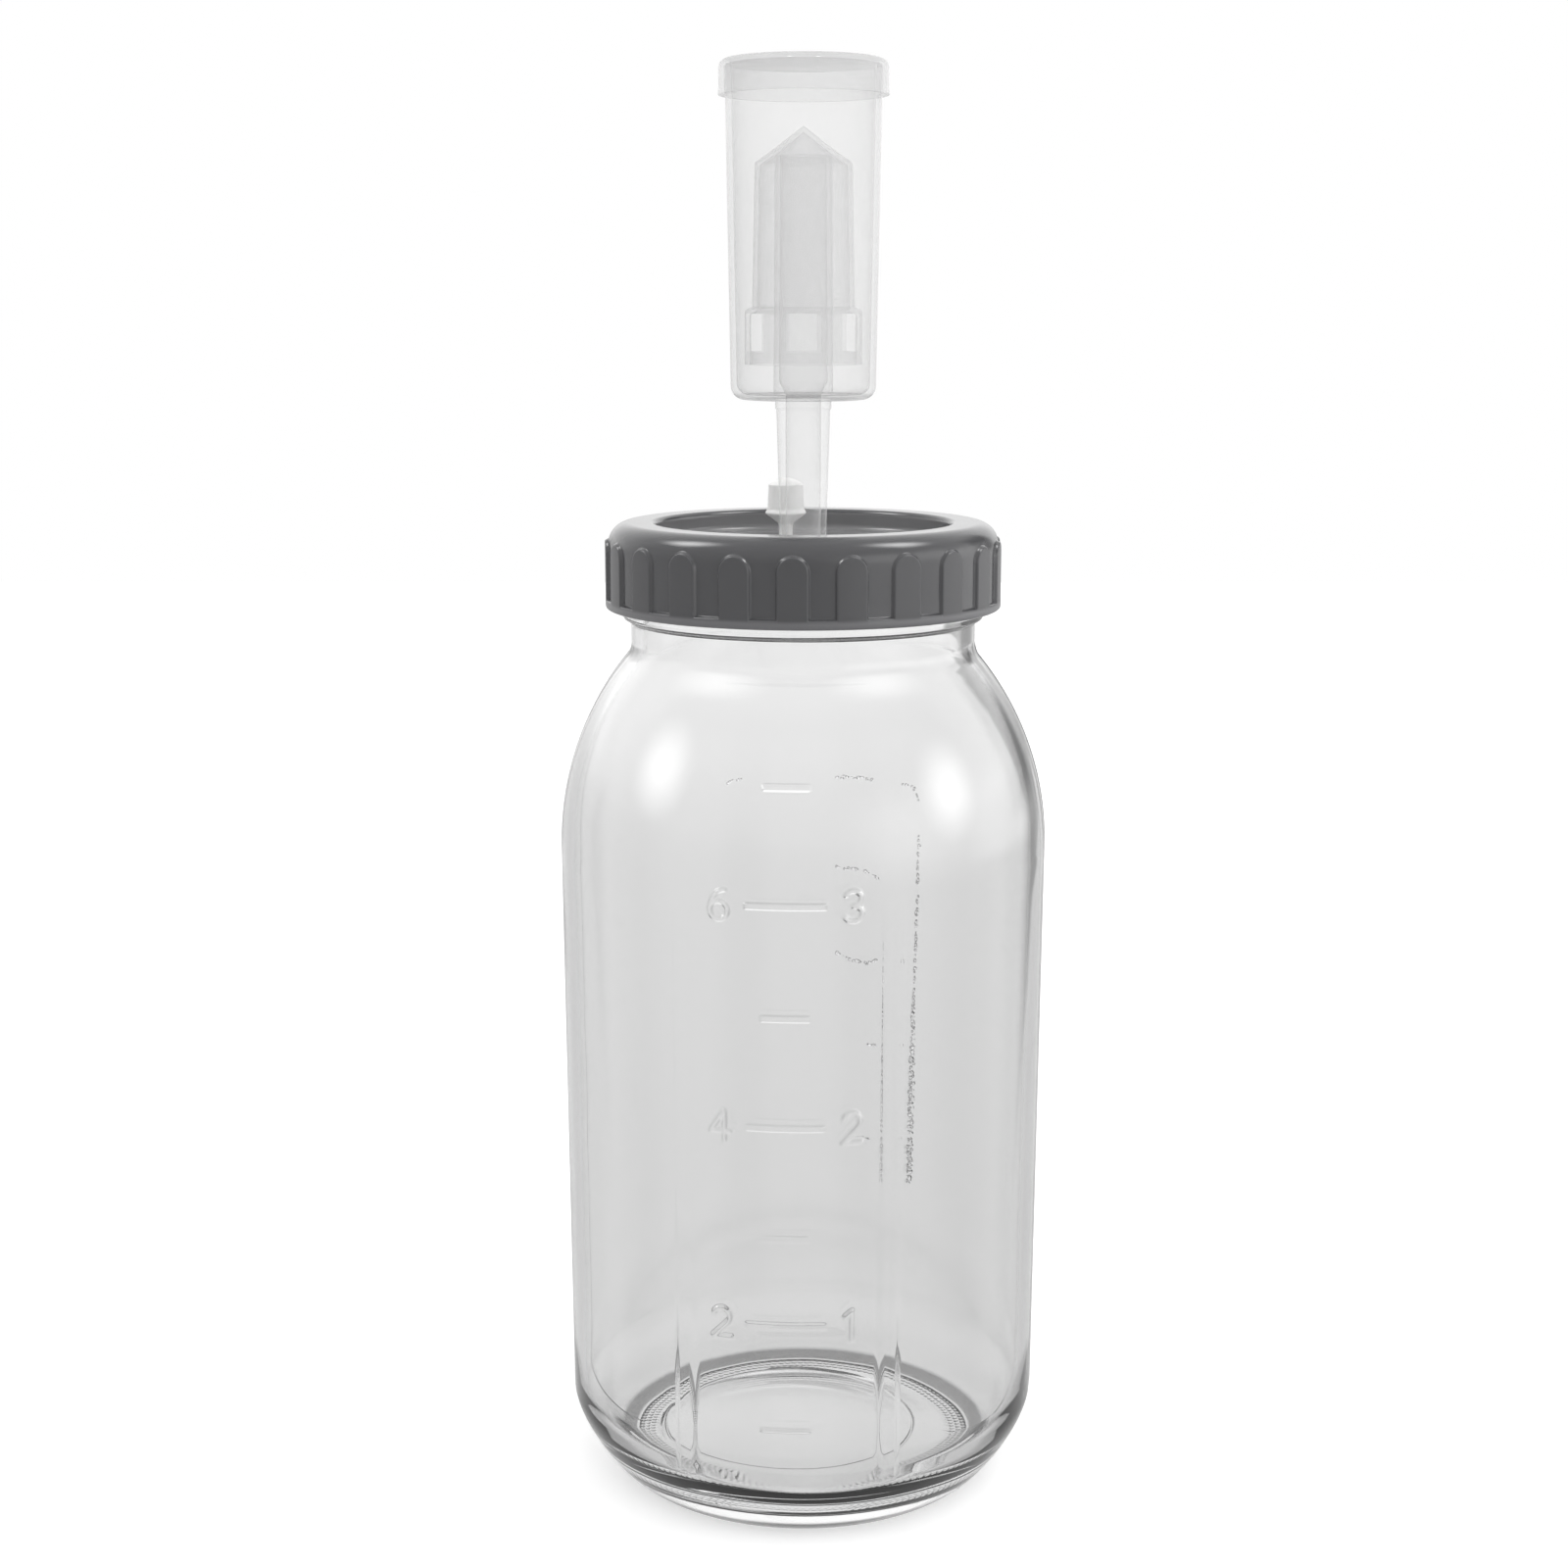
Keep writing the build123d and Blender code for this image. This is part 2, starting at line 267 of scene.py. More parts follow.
def add_node(tree, kind, inputs=None, **settings):
    """Adds a shader node with its settings; an input takes a value, a node or one output of a node."""
    made = tree.nodes.new("ShaderNode" + kind)
    for name, value in settings.items():
        setattr(made, name, value)
    for name, value in (inputs or {}).items():
        if isinstance(value, bpy.types.Node):
            value = value.outputs[0]
        if isinstance(value, bpy.types.NodeSocket):
            tree.links.new(value, made.inputs[name])
        else:
            made.inputs[name].default_value = value
    return made


def soft_zone(tree, values, edges, inside=1.0, outside=0.0, unit=1.0):
    """Goes from outside to inside past soft edges, each a value's name, where it starts and where it ends."""
    share = 1.0
    for name, start, end in edges:
        span = {"Value": values[name], "From Min": start * unit, "From Max": end * unit}
        edge = add_node(tree, "MapRange", span, interpolation_type="SMOOTHSTEP")
        share = add_node(tree, "Math", {0: edge, 1: share}, operation="MULTIPLY")
    return add_node(tree, "Mix", {0: share, 2: outside, 3: inside})


def painted(tree, values, colour, coats):
    """A colour with other colours over it, each in its own zone in millimetres."""
    for edges, code in coats:
        share = soft_zone(tree, values, edges, unit=MM)
        layers = {0: share, 6: colour, 7: linear(code)}
        colour = add_node(tree, "Mix", layers, data_type="RGBA").outputs[2]
    return colour


def new_material(name):
    """An empty material and its node tree."""
    material = bpy.data.materials.new(name)
    material.use_nodes = True
    material.node_tree.nodes.clear()
    return material, material.node_tree


def piece_places(tree):
    """Places on a piece, with their height and their distance from its axis."""
    place = add_node(tree, "TexCoord").outputs["Object"]
    parts = add_node(tree, "SeparateXYZ", {0: place}).outputs
    across = add_node(tree, "CombineXYZ", {0: parts["X"], 1: parts["Y"]})
    radius = add_node(tree, "VectorMath", {0: across}, operation="LENGTH").outputs["Value"]
    return {"place": place, "height": parts["Z"], "radius": radius}


def grain(values, size, detail):
    """Inputs of a noise whose features are about this many millimetres across."""
    return {"Vector": values["place"], "Scale": 1 / (size * MM), "Detail": detail}


# Glass: grain sizes, and the edges of its painted light towards the shoulder and of its painted shadow at the
# foot
ripple_grain = 14.0
# Painted light: the glass is painted lighter higher up, towards the shoulder
body_painted_light_edges = (("height", 50.0, 150.0),)
shoulder_painted_light_edges = (("height", 155.0, 205.0),)
# Painted shadow: a dark grey at the outer bottom edge of the foot stands in for the contact shadow
foot_painted_shadow_edges = (("height", 4.2, 2.8), ("radius", foot_radius + 0.6, foot_radius + 1.4))


def clear_glass():
    """Soda-lime glass, pressed and blown: clear, painted lighter towards the shoulder, with a painted contact
    shadow at the foot, softly rippled by the mould.
    """
    material, tree = new_material("soda_lime_glass")
    values = piece_places(tree)
    coats = ((body_painted_light_edges, "#ECECEC"), (shoulder_painted_light_edges, "#F8F8F8"), (foot_painted_shadow_edges, "#585858"))
    ripple = add_node(tree, "TexNoise", grain(values, ripple_grain, detail=1.0))
    bump = add_node(tree, "Bump", {"Height": ripple, "Strength": 0.12, "Distance": 0.1 * MM})
    look = {
        "Base Color": painted(tree, values, linear("#E9E9E9"), coats),
        "Roughness": 0.0,
        "IOR": 1.52,
        "Transmission Weight": 1.0,
        "Normal": bump,
    }
    add_node(tree, "OutputMaterial", {"Surface": add_node(tree, "BsdfPrincipled", look)})
    return material


# Lid plastic: grain sizes, and the edges of its rib faces, of the painted light in its well and of the
# painted light on its lower band
flow_grain = 18.0
peel_grain = 0.9
rib_face_edges = (("radius", rib_radius - 0.25, rib_radius - 0.08),)
# Painted light: the inside of the well is painted a lighter grey, for the light that falls into it
well_painted_light_edges = (("radius", well_radius + 0.9, well_radius + 0.3), ("height", lid_top - 0.6, lid_top - 1.2))
# Painted light: the smooth band under the ribs is painted a lighter grey, for light thrown up from below
band_painted_light_edges = (("height", lid_bottom + 2.3, lid_bottom + 1.3),)
rib_face_roughness = 0.32


def grey_lid_plastic():
    """Polypropylene, injection moulded with a polished tool: dark grey with a wet-looking gloss, and with
    painted light in its well and on its lower band.
    """
    material, tree = new_material("glossy_grey_polypropylene")
    values = piece_places(tree)
    flow = add_node(tree, "TexNoise", grain(values, flow_grain, detail=3.0))
    shades = {0: flow, 6: linear("#464648"), 7: linear("#4B4B4D")}
    tone = add_node(tree, "Mix", shades, data_type="RGBA").outputs[2]
    shine = add_node(tree, "MapRange", {"Value": flow, "To Min": 0.13, "To Max": 0.19})
    peel = add_node(tree, "TexNoise", grain(values, peel_grain, detail=2.0))
    bump = add_node(tree, "Bump", {"Height": peel, "Strength": 0.1, "Distance": 0.02 * MM})
    look = {
        # The well and the lower band get their painted light here
        "Base Color": painted(tree, values, tone, ((well_painted_light_edges, "#777778"), (band_painted_light_edges, "#68686A"))),
        "Roughness": soft_zone(tree, values, rib_face_edges, rib_face_roughness, shine, MM),
        "IOR": 1.49,
        "Normal": bump,
    }
    add_node(tree, "OutputMaterial", {"Surface": add_node(tree, "BsdfPrincipled", look)})
    return material


# Airlock plastic: grain size, how milky a wall is, and the painted shade, a soft dark line in the corner of
# the cup's floor
cloud_grain = 9.0
wall_haze = 0.105
haze_range = (0.9, 1.1)
least_slope = 0.04
corner_shade_drop = 0.3
corner_shade_line = (0.2, 0.7)
corner_shade_haze = 0.35


def clear_airlock_plastic():
    """Natural polypropylene, thin and milky: what lies behind shows through as soft pale greys."""
    material, tree = new_material("natural_polypropylene")
    values = piece_places(tree)
    # Painted shade: a soft dark grey, more opaque line at the height of the corner of the cup's floor
    corner = cup_inner_floor - corner_shade_drop
    near, far = corner_shade_line
    corner_shade_edges = [("height", corner + side * far, corner + side * near) for side in (-1, 1)]
    cloud = add_node(tree, "TexNoise", grain(values, cloud_grain, detail=2.0))
    shine = add_node(tree, "MapRange", {"Value": cloud, "To Min": 0.18, "To Max": 0.28})
    # Light crosses more milk where a wall is seen on edge
    facing = add_node(tree, "LayerWeight", {"Blend": 0.5}).outputs["Facing"]
    straight = add_node(tree, "Math", {0: 1.0, 1: facing}, operation="SUBTRACT")
    slope = add_node(tree, "Math", {0: straight, 1: least_slope}, operation="MAXIMUM")
    thin, thick = [-share * wall_haze for share in haze_range]
    milk = add_node(tree, "MapRange", {"Value": cloud, "To Min": thin, "To Max": thick})
    depth = add_node(tree, "Math", {0: milk, 1: slope}, operation="DIVIDE")
    clear = add_node(tree, "Math", {0: depth}, operation="EXPONENT")
    haze = add_node(tree, "Math", {0: 1.0, 1: clear}, operation="SUBTRACT")
    corner_shade_alpha = soft_zone(tree, values, corner_shade_edges, corner_shade_haze, unit=MM)
    look = {
        "Base Color": painted(tree, values, linear("#E4E4E4"), ((corner_shade_edges, "#8C8C8C"),)),
        "Roughness": shine,
        "IOR": 1.49,
        "Specular IOR Level": 0.3,
        "Alpha": add_node(tree, "Math", {0: haze, 1: corner_shade_alpha}, operation="MAXIMUM"),
    }
    add_node(tree, "OutputMaterial", {"Surface": add_node(tree, "BsdfPrincipled", look)})
    return material


# Silicone: grain size of its matt skin
skin_grain = 1.5


def white_silicone():
    """Silicone rubber, moulded and unpigmented: milky white, matt, and dim light passes through it."""
    material, tree = new_material("translucent_silicone")
    values = piece_places(tree)
    dust = add_node(tree, "TexNoise", grain(values, skin_grain, detail=4.0))
    look = {
        "Base Color": linear("#F6F6F5"),
        "Roughness": add_node(tree, "MapRange", {"Value": dust, "To Min": 0.42, "To Max": 0.58}),
        "IOR": 1.41,
        "Alpha": 0.88,
        "Normal": add_node(tree, "Bump", {"Height": dust, "Strength": 0.15, "Distance": 0.03 * MM}),
    }
    add_node(tree, "OutputMaterial", {"Surface": add_node(tree, "BsdfPrincipled", look)})
    return material


# Camera, fitted to the outlines of the jar and lid
camera_place = (-4.54, -589.5, 285.8)
camera_pitch = 10.94
camera_lens = 56.95
camera_sensor = 36.0

camera_data = bpy.data.cameras.new("camera")
camera_data.lens = camera_lens
camera_data.sensor_width = camera_sensor
camera = bpy.data.objects.new("camera", camera_data)
camera.location = [value * MM for value in camera_place]
camera.rotation_euler = (radians(90 - camera_pitch), 0, 0)
bpy.context.scene.collection.objects.link(camera)
bpy.context.scene.camera = camera
bpy.context.scene.view_settings.view_transform = "Standard"

# Light has to cross many walls of glass and plastic
cycles = bpy.context.scene.cycles
cycles.max_bounces = 32
cycles.transmission_bounces = 32
cycles.transparent_max_bounces = 64
cycles.use_denoising = True

# Stage: a white room with soft light, and greys that only glass and gloss show
panel_step = 60.0
gap_half = 4.0
gap_fade = 14.0
gap_level = 0.72
gap_edges = (("off_gap", gap_half + gap_fade, gap_half), ("z", 0.3, 0.0))
below_level = 0.78
below_edges = (("z", -0.88, -0.8), ("z", -0.42, -0.55))
far_level = 0.93
far_low_level = 0.85
far_edges = (("ahead", 0.85, 0.96),)
far_low_edges = (("z", -0.62, -0.72),)
near_level = 0.45
near_edges = (("ahead", 0.4, 0.0), ("z", -0.52, -0.66))
above_level = 1.35
above_edges = (("z", 0.0, 0.14),)
right_level = 0.95
right_edges = (("turn", 89.0, 82.0),)
flag_level = 0.35
flag_slant = 0.45
flag_foot = -37.65
flag_roughness = 2.0
flag_grain = 40.0
flag_edges = (
    ("over", flag_foot - 1.0, flag_foot + 1.0),
    ("turn", 81.0, 79.0),
    ("turn", 36.0, 48.0),
    ("rise", 14.0, 4.0),
)
low_level = 0.75
high_level = 1.1
high_edges = (("z", -0.3, 0.5),)
backdrop_level = 1.3
backdrop_edges = (("y", 0.3, 0.8), ("z", -0.05, 0.1))
stand_level = 0.12
stand_edges = (("turn", 24.0, 32.0), ("turn", 60.0, 52.0), ("rise", -6.0, 0.0), ("rise", 36.0, 20.0))
panel_level = 1.7
panel_edges = (("x", 0.1, 0.75), ("y", 0.6, -0.3), ("z", -0.3, 0.05), ("z", 0.5, 0.15))
side_level = 0.9
side_edges = (("x", 0.5, 0.85), ("y", -0.2, 0.1), ("y", 0.9, 0.6), ("z", -0.18, -0.09), ("z", 0.3, 0.1))
room_level = 0.9
room_lean = 0.35


def white_room():
    """The world: white to the eye, brighter on the right as light, with soft greys in glass and gloss."""
    world = bpy.data.worlds.new("white_room")
    world.use_nodes = True
    bpy.context.scene.world = world
    tree = world.node_tree
    tree.nodes.clear()
    rays = add_node(tree, "LightPath").outputs
    towards = add_node(tree, "TexCoord").outputs["Generated"]
    parts = add_node(tree, "SeparateXYZ", {0: towards}).outputs
    around = add_node(tree, "Math", {0: parts["Y"], 1: parts["X"]}, operation="ARCTAN2")
    up = add_node(tree, "Math", {0: parts["Z"]}, operation="ARCSINE")
    turn, rise = [
        add_node(tree, "Math", {0: angle, 1: degrees(1)}, operation="MULTIPLY") for angle in (around, up)
    ]
    # What edges can name: parts of the direction, its turn and rise in degrees, how far ahead it points, its
    # distance off a gap, and its height over the slanting edge of the flag, a dark stand on the right whose
    # edge shows as a crescent on the jar's shoulder
    rough = add_node(tree, "TexNoise", {"Vector": towards, "Scale": flag_grain, "Detail": 3.0})
    over = add_node(tree, "Math", {0: turn, 1: -flag_slant, 2: rise}, operation="MULTIPLY_ADD")
    values = {
        "x": parts["X"],
        "y": parts["Y"],
        "z": parts["Z"],
        "turn": turn,
        "rise": rise,
        "ahead": add_node(tree, "Math", {0: around}, operation="SINE"),
        "off_gap": add_node(tree, "Math", {0: turn, 1: panel_step / 2}, operation="PINGPONG"),
        "over": add_node(tree, "Math", {0: rough, 1: flag_roughness, 2: over}, operation="MULTIPLY_ADD"),
    }
    # Behind glass
    far = soft_zone(tree, values, far_low_edges, far_low_level, far_level)
    below = soft_zone(tree, values, far_edges, far, below_level)
    behind = 1.0
    for edges, level in (
        (gap_edges, gap_level),
        (below_edges, below),
        (above_edges, above_level),
        (right_edges, right_level),
        (near_edges, near_level),
        (flag_edges, flag_level),
    ):
        grey = soft_zone(tree, values, edges, level, 1.0)
        behind = add_node(tree, "Math", {0: grey, 1: behind}, operation="MULTIPLY")
    # In gloss
    gloss = soft_zone(tree, values, high_edges, high_level, low_level)
    gloss = soft_zone(tree, values, backdrop_edges, backdrop_level, gloss)
    gloss = soft_zone(tree, values, stand_edges, stand_level, gloss)
    for edges, level in ((panel_edges, panel_level), (side_edges, side_level)):
        window = soft_zone(tree, values, edges, level)
        gloss = add_node(tree, "Math", {0: gloss, 1: window}, operation="ADD")
    # As light
    light = add_node(tree, "Math", {0: parts["X"], 1: room_lean, 2: room_level}, operation="MULTIPLY_ADD")
    mirror = add_node(tree, "Mix", {0: rays["Is Glossy Ray"], 2: light, 3: gloss})
    glass = add_node(tree, "Mix", {0: rays["Is Transmission Ray"], 2: mirror, 3: behind})
    seen = add_node(tree, "Mix", {0: rays["Is Camera Ray"], 2: glass, 3: 1.0})
    shade = add_node(tree, "Background", {"Color": linear("#FFFFFF"), "Strength": seen})
    add_node(tree, "OutputWorld", {"Surface": shade})


floor_half = 2000.0
floor_grey = "#EDEDED"
floor_lift = 0.5


def square(half):
    """Corners of a flat square round the origin."""
    return [(-half, -half, 0), (half, -half, 0), (half, half, 0), (-half, half, 0)]


def pale_floor():
    """A matt white table top, which keeps the shadow and is a little brighter to the eye."""
    material, tree = new_material("white_table_top")
    seen = add_node(tree, "LightPath").outputs["Is Camera Ray"]
    lift = add_node(tree, "Math", {0: seen, 1: floor_lift}, operation="MULTIPLY")
    paint = add_node(tree, "BsdfDiffuse", {"Color": linear(floor_grey)})
    both = add_node(tree, "AddShader", {0: paint, 1: add_node(tree, "Emission", {"Strength": lift})})
    add_node(tree, "OutputMaterial", {"Surface": both})
    table = make_piece("table_top", square(floor_half), [(0, 1, 2, 3)], material)
    table.visible_transmission = False
    table.visible_glossy = False


card_distance = 1100.0
card_height = 130.0
card_edge = 2.0
lid_foot = 213.0
neck_foot = 200.0
light_top = plug_high[2] + card_edge


def soft_card(name, direction, half, strength, low, high):
    """A round white light with a soft edge, which lights only what stands between two heights."""
    material, tree = new_material("soft_light")
    values = piece_places(tree)
    # A ray's origin is where it met the card, taken back along the way it came
    surface = add_node(tree, "NewGeometry").outputs
    length = add_node(tree, "LightPath").outputs["Ray Length"]
    back = add_node(tree, "VectorMath", {0: surface["Incoming"], "Scale": length}, operation="SCALE")
    origin = add_node(tree, "VectorMath", {0: surface["Position"], 1: back})
    values["origin"] = add_node(tree, "SeparateXYZ", {0: origin}).outputs["Z"]
    fade = soft_zone(tree, values, (("radius", half, 0.0),), strength, unit=MM)
    lit_edges = (("origin", low - card_edge, low + card_edge), ("origin", high + card_edge, high - card_edge))
    glow = add_node(tree, "Emission", {"Strength": soft_zone(tree, values, lit_edges, fade, unit=MM)})
    both = add_node(tree, "AddShader", {0: add_node(tree, "BsdfTransparent"), 1: glow})
    add_node(tree, "OutputMaterial", {"Surface": both})
    card = make_piece(name, square(half), [(0, 1, 2, 3)], material)
    away = Vector(direction).normalized()
    card.location = (away * card_distance + Vector((0, 0, card_height))) * MM
    card.rotation_euler = (-away).to_track_quat("Z", "Y").to_euler()
    card.visible_camera = False
    card.visible_transmission = False


# Jar

# Marks pressed into the glass, by angle round the axis and height
front_angle = -94.2
frame_half_angle = 23.8
frame_half_width = 2.2
frame_edge = 0.3
frame_inner_edge = 1.0
frame_fades = (6.0, 12.0)
frame_bottom = 17.0
frame_top = 160.0
frame_rise = 0.14
rib_rise_low = 0.32
rib_low_top = 62.0
rib_fade = 26.0
seam_rise = 0.12
seam_half_width = 0.35
tick_heights = (31.3, 56.8, 77.9, 104.2, 129.8, 155.5, 181.5)
tick_half_thicknesses = (0.12, 0.5, 0.5, 0.5, 0.5, 0.5, 0.5)
tick_half_lengths = (5.8, 9.3)
tick_rises = (0.5, 0.25, 0.22, 0.42, 0.5, 0.62, 0.45)
tick_edge = 0.55
tick_taper = 1.4
tick_reach = 2.0
numeral_across = 15.1
numeral_half_stroke = 0.18
numeral_rise = 0.5
numeral_edge = 0.6
numeral_half_size = (3.0, 4.2)
mark_margin = 0.5
scar_margin = 0.3
degree_length = radians(body_radius)

# Rough scars on the back, as lines through angles and heights
scars = [
    [(80.4, 163.0), (75.0, 163.2), (70.6, 162.6)],
    [(61.7, 162.3), (58.5, 161.8), (57.0, 158.3)],
    [(110.6, 161.5), (109.0, 162.6), (106.5, 162.6)],
    [(80.5, 138.4), (75.0, 138.0), (71.0, 137.2), (68.2, 135.8)],
    [(80.0, 115.2), (76.0, 113.4), (72.0, 112.8), (68.6, 114.2)],
    [(71.5, 90.2), (68.8, 90.2)],
    [(73.8, 63.6), (69.5, 64.0)],
    [(56.8, 149.4), (57.4, 104.0), (58.1, 53.7)],
]
scar_angles = (50, 120)
scar_rise = 0.75
scar_half_width = 0.42
scar_wobble = 0.5
scar_wobble_size = 2.0
scar_grain = 0.7
scar_grain_layer = 9
scar_spread_top = 110.0
scar_spread_run = 30.0
scar_spread = 2.2
scar_reach = 2.5
scar_run = 50.0
scar_floor = 0.4
scar_contrast = 2.0
FAR_OFF = 99.0


def smooth(value):
    """Rises from 0 to 1 with level ends."""
    value = min(max(value, 0.0), 1.0)
    return value * value * (3 - 2 * value)


def stroke(centre, reach, start, end, steps=9):
    """Points along part of an ellipse."""
    angles = [radians(start + (end - start) * step / steps) for step in range(steps + 1)]
    return [(centre[0] + reach[0] * cos(angle), centre[1] + reach[1] * sin(angle)) for angle in angles]


numerals = {
    "1": [[(-1.3, 2.1), (0.3, 3.5), (0.3, -3.5)]],
    "2": [stroke((0, 1.5), (2.0, 2.0), 160, -40) + [(-2.1, -3.5), (2.2, -3.5)]],
    "3": [stroke((0, 1.75), (1.8, 1.75), 155, -90), stroke((0, -1.75), (2.1, 1.75), 90, -155)],
    "4": [[(1.0, -3.5), (1.0, 3.5), (-2.3, -1.3), (2.3, -1.3)]],
    "6": [stroke((0, -1.4), (2.1, 2.1), 180, -180, 16), stroke((1.9, -1.4), (4.0, 4.9), 180, 98)],
}
numeral_places = [
    ("6", -numeral_across, 155.5),
    ("3", numeral_across, 155.5),
    ("4", -numeral_across, 104.2),
    ("2", numeral_across, 104.2),
    ("2", -numeral_across, 56.8),
    ("1", numeral_across, 56.8),
]


def stroke_distance(x, z, points):
    """Distance from a point to a drawn line."""
    nearest = FAR_OFF
    for (ax, az), (bx, bz) in zip(points, points[1:]):
        dx, dz = bx - ax, bz - az
        share = min(max(((x - ax) * dx + (z - az) * dz) / (dx * dx + dz * dz), 0), 1)
        nearest = min(nearest, hypot(x - ax - dx * share, z - az - dz * share))
    return nearest


def raised(distance, rise, edge):
    """Height of a mark at a distance outside its outline."""
    share = min(max(distance / edge, 0.0), 1.0)
    return rise * (1 - (share + smooth(share)) / 2)


def from_angle(angle, centre):
    """Degrees from one angle to another, between -180 and 180."""
    return (angle - centre + 180) % 360 - 180


def front_marks(x, z):
    """Height of the scale's ticks and numerals at a place on the front of the glass."""
    rise = 0.0
    for index, height in enumerate(tick_heights):
        if abs(z - height) < tick_reach:
            end = smooth((tick_half_lengths[index % 2] + tick_edge - abs(x)) / tick_taper)
            distance = abs(z - height) - tick_half_thicknesses[index]
            rise = max(rise, end * raised(distance, tick_rises[index], tick_edge))
    for numeral, across, height in numeral_places:
        if abs(x - across) < numeral_half_size[0] and abs(z - height) < numeral_half_size[1]:
            for points in numerals[numeral]:
                distance = stroke_distance(x - across, z - height, points) - numeral_half_stroke
                rise = max(rise, raised(distance, numeral_rise, numeral_edge))
    return rise


def scar_marks(angle, z):
    """Height of the rough scars at a place on the back of the glass."""
    rise = 0.0
    x = angle * degree_length
    for line_points in scars:
        points = [(at * degree_length, height) for at, height in line_points]
        distance = stroke_distance(x, z, points)
        if distance > scar_reach:
            continue
        wander = noise.noise(Vector((x, z, 0)) / scar_wobble_size) * scar_wobble
        grain = noise.noise(Vector((x, z, scar_grain_layer)) / scar_grain)
        spread = 1.0
        if points[0][1] - points[-1][1] > scar_run:
            spread += scar_spread * smooth((scar_spread_top - z) / scar_spread_run)
        share = max(0.0, 1 - abs(distance + wander) / (scar_half_width * spread))
        rise = max(rise, scar_rise * smooth(share) * max(0.0, scar_floor + scar_contrast * grain))
    return rise


def panel_frame(angle, z):
    """Height of the two soft upright bands beside the scale."""
    x = (abs(from_angle(angle, front_angle)) - frame_half_angle) * degree_length
    outside = smooth((frame_half_width + frame_edge - x) / frame_edge)
    inside = smooth((x + frame_half_width + frame_inner_edge / 2) / frame_inner_edge)
    low = smooth((rib_low_top - z) / rib_fade)
    ends = smooth((z - frame_bottom) / frame_fades[0]) * smooth((frame_top - z) / frame_fades[1])
    return (frame_rise + (rib_rise_low - frame_rise) * low) * outside * inside * ends


def seam(angle):
    """Height of the two upright lines where the halves of the mould met."""
    off = abs(from_angle(angle, front_angle + 90)), abs(from_angle(angle, front_angle - 90))
    return seam_rise * (1 - smooth(min(off) * degree_length / seam_half_width))


def thread(angle, z, start_height, start_angle, turns, half_width, height):
    """Height of a right-hand screw thread at a place on a round wall."""
    turned_by = (angle - start_angle) % 360
    best = 0.0
    for lap in range(ceil(turns) + 1):
        along = turned_by / 360 + lap
        if along > turns:
            break
        off = (z - start_height - thread_pitch * along) / half_width
        if abs(off) < 1:
            fade = smooth(along * thread_fade) * smooth((turns - along) * thread_fade)
            best = max(best, height * fade * cos(off * pi / 2) ** thread_crest)
    return best


jar_thread = (218.9, -150.0, 1.35, 1.25, 1.7)
thread_fade = 12.0
thread_crest = 1.5
ripple_size = 26.0
floor_ripple = 0.22
push_up_shares = ((0, 0.2, 0.4, 0.6, 0.74), (0.9, 0.95))
finish_steps = 36
outer_heel_steps = 18
outer_shoulder_steps = 20
outer_neck_steps = 8
inner_neck_steps = 9
inner_shoulder_steps = 14
inner_side_steps = 14
inner_heel_steps = 12
floor_steps = 9
ring_steps = 4
side_ripple = 0.05
dot_step = 2.5
dot_rows = 3
dot_depth = 0.42
ring_radius = 31.6
ring_offset = (-3.3, 3.3)
ring_half_width = 0.5
ring_depth = 0.25
tick_row_half = 1.35
scar_rows = [(137.4, 1.9), (114.0, 1.6), (90.2, 1.0), (63.8, 1.0)]
body_row = 2.9
scar_columns = (57.4, 2.6, (-1.6, 1.6))
frame_columns = (-3.4, -2.7, -2.2, -1.7, -0.8, 0.8, 1.7, 2.15, 2.3, 2.45, 3.4)
frame_room = 4.2
seam_columns = (-1.1, -0.36, -0.18, 0, 0.18, 0.36, 1.1)
seam_room = 1.9
FINE = 16
NEAR_BY = 1e-3


def body_heights(top):
    """Heights of the jar's rows on its straight side, with one row round each tick and scar."""
    edges = [heel_height]
    marks = [(height, tick_row_half) for height in tick_heights if height + tick_reach < top]
    marks += scar_rows
    for height, half in sorted(marks):
        edges += [height - half, height + half]
    edges.append(top)
    heights = []
    for low, high in zip(edges, edges[1:]):
        steps = max(1, round((high - low) / body_row))
        if (low + high) / 2 in [height for height, _ in marks]:
            steps = 1
        heights += [low + (high - low) * step / steps for step in range(steps)]
    return heights


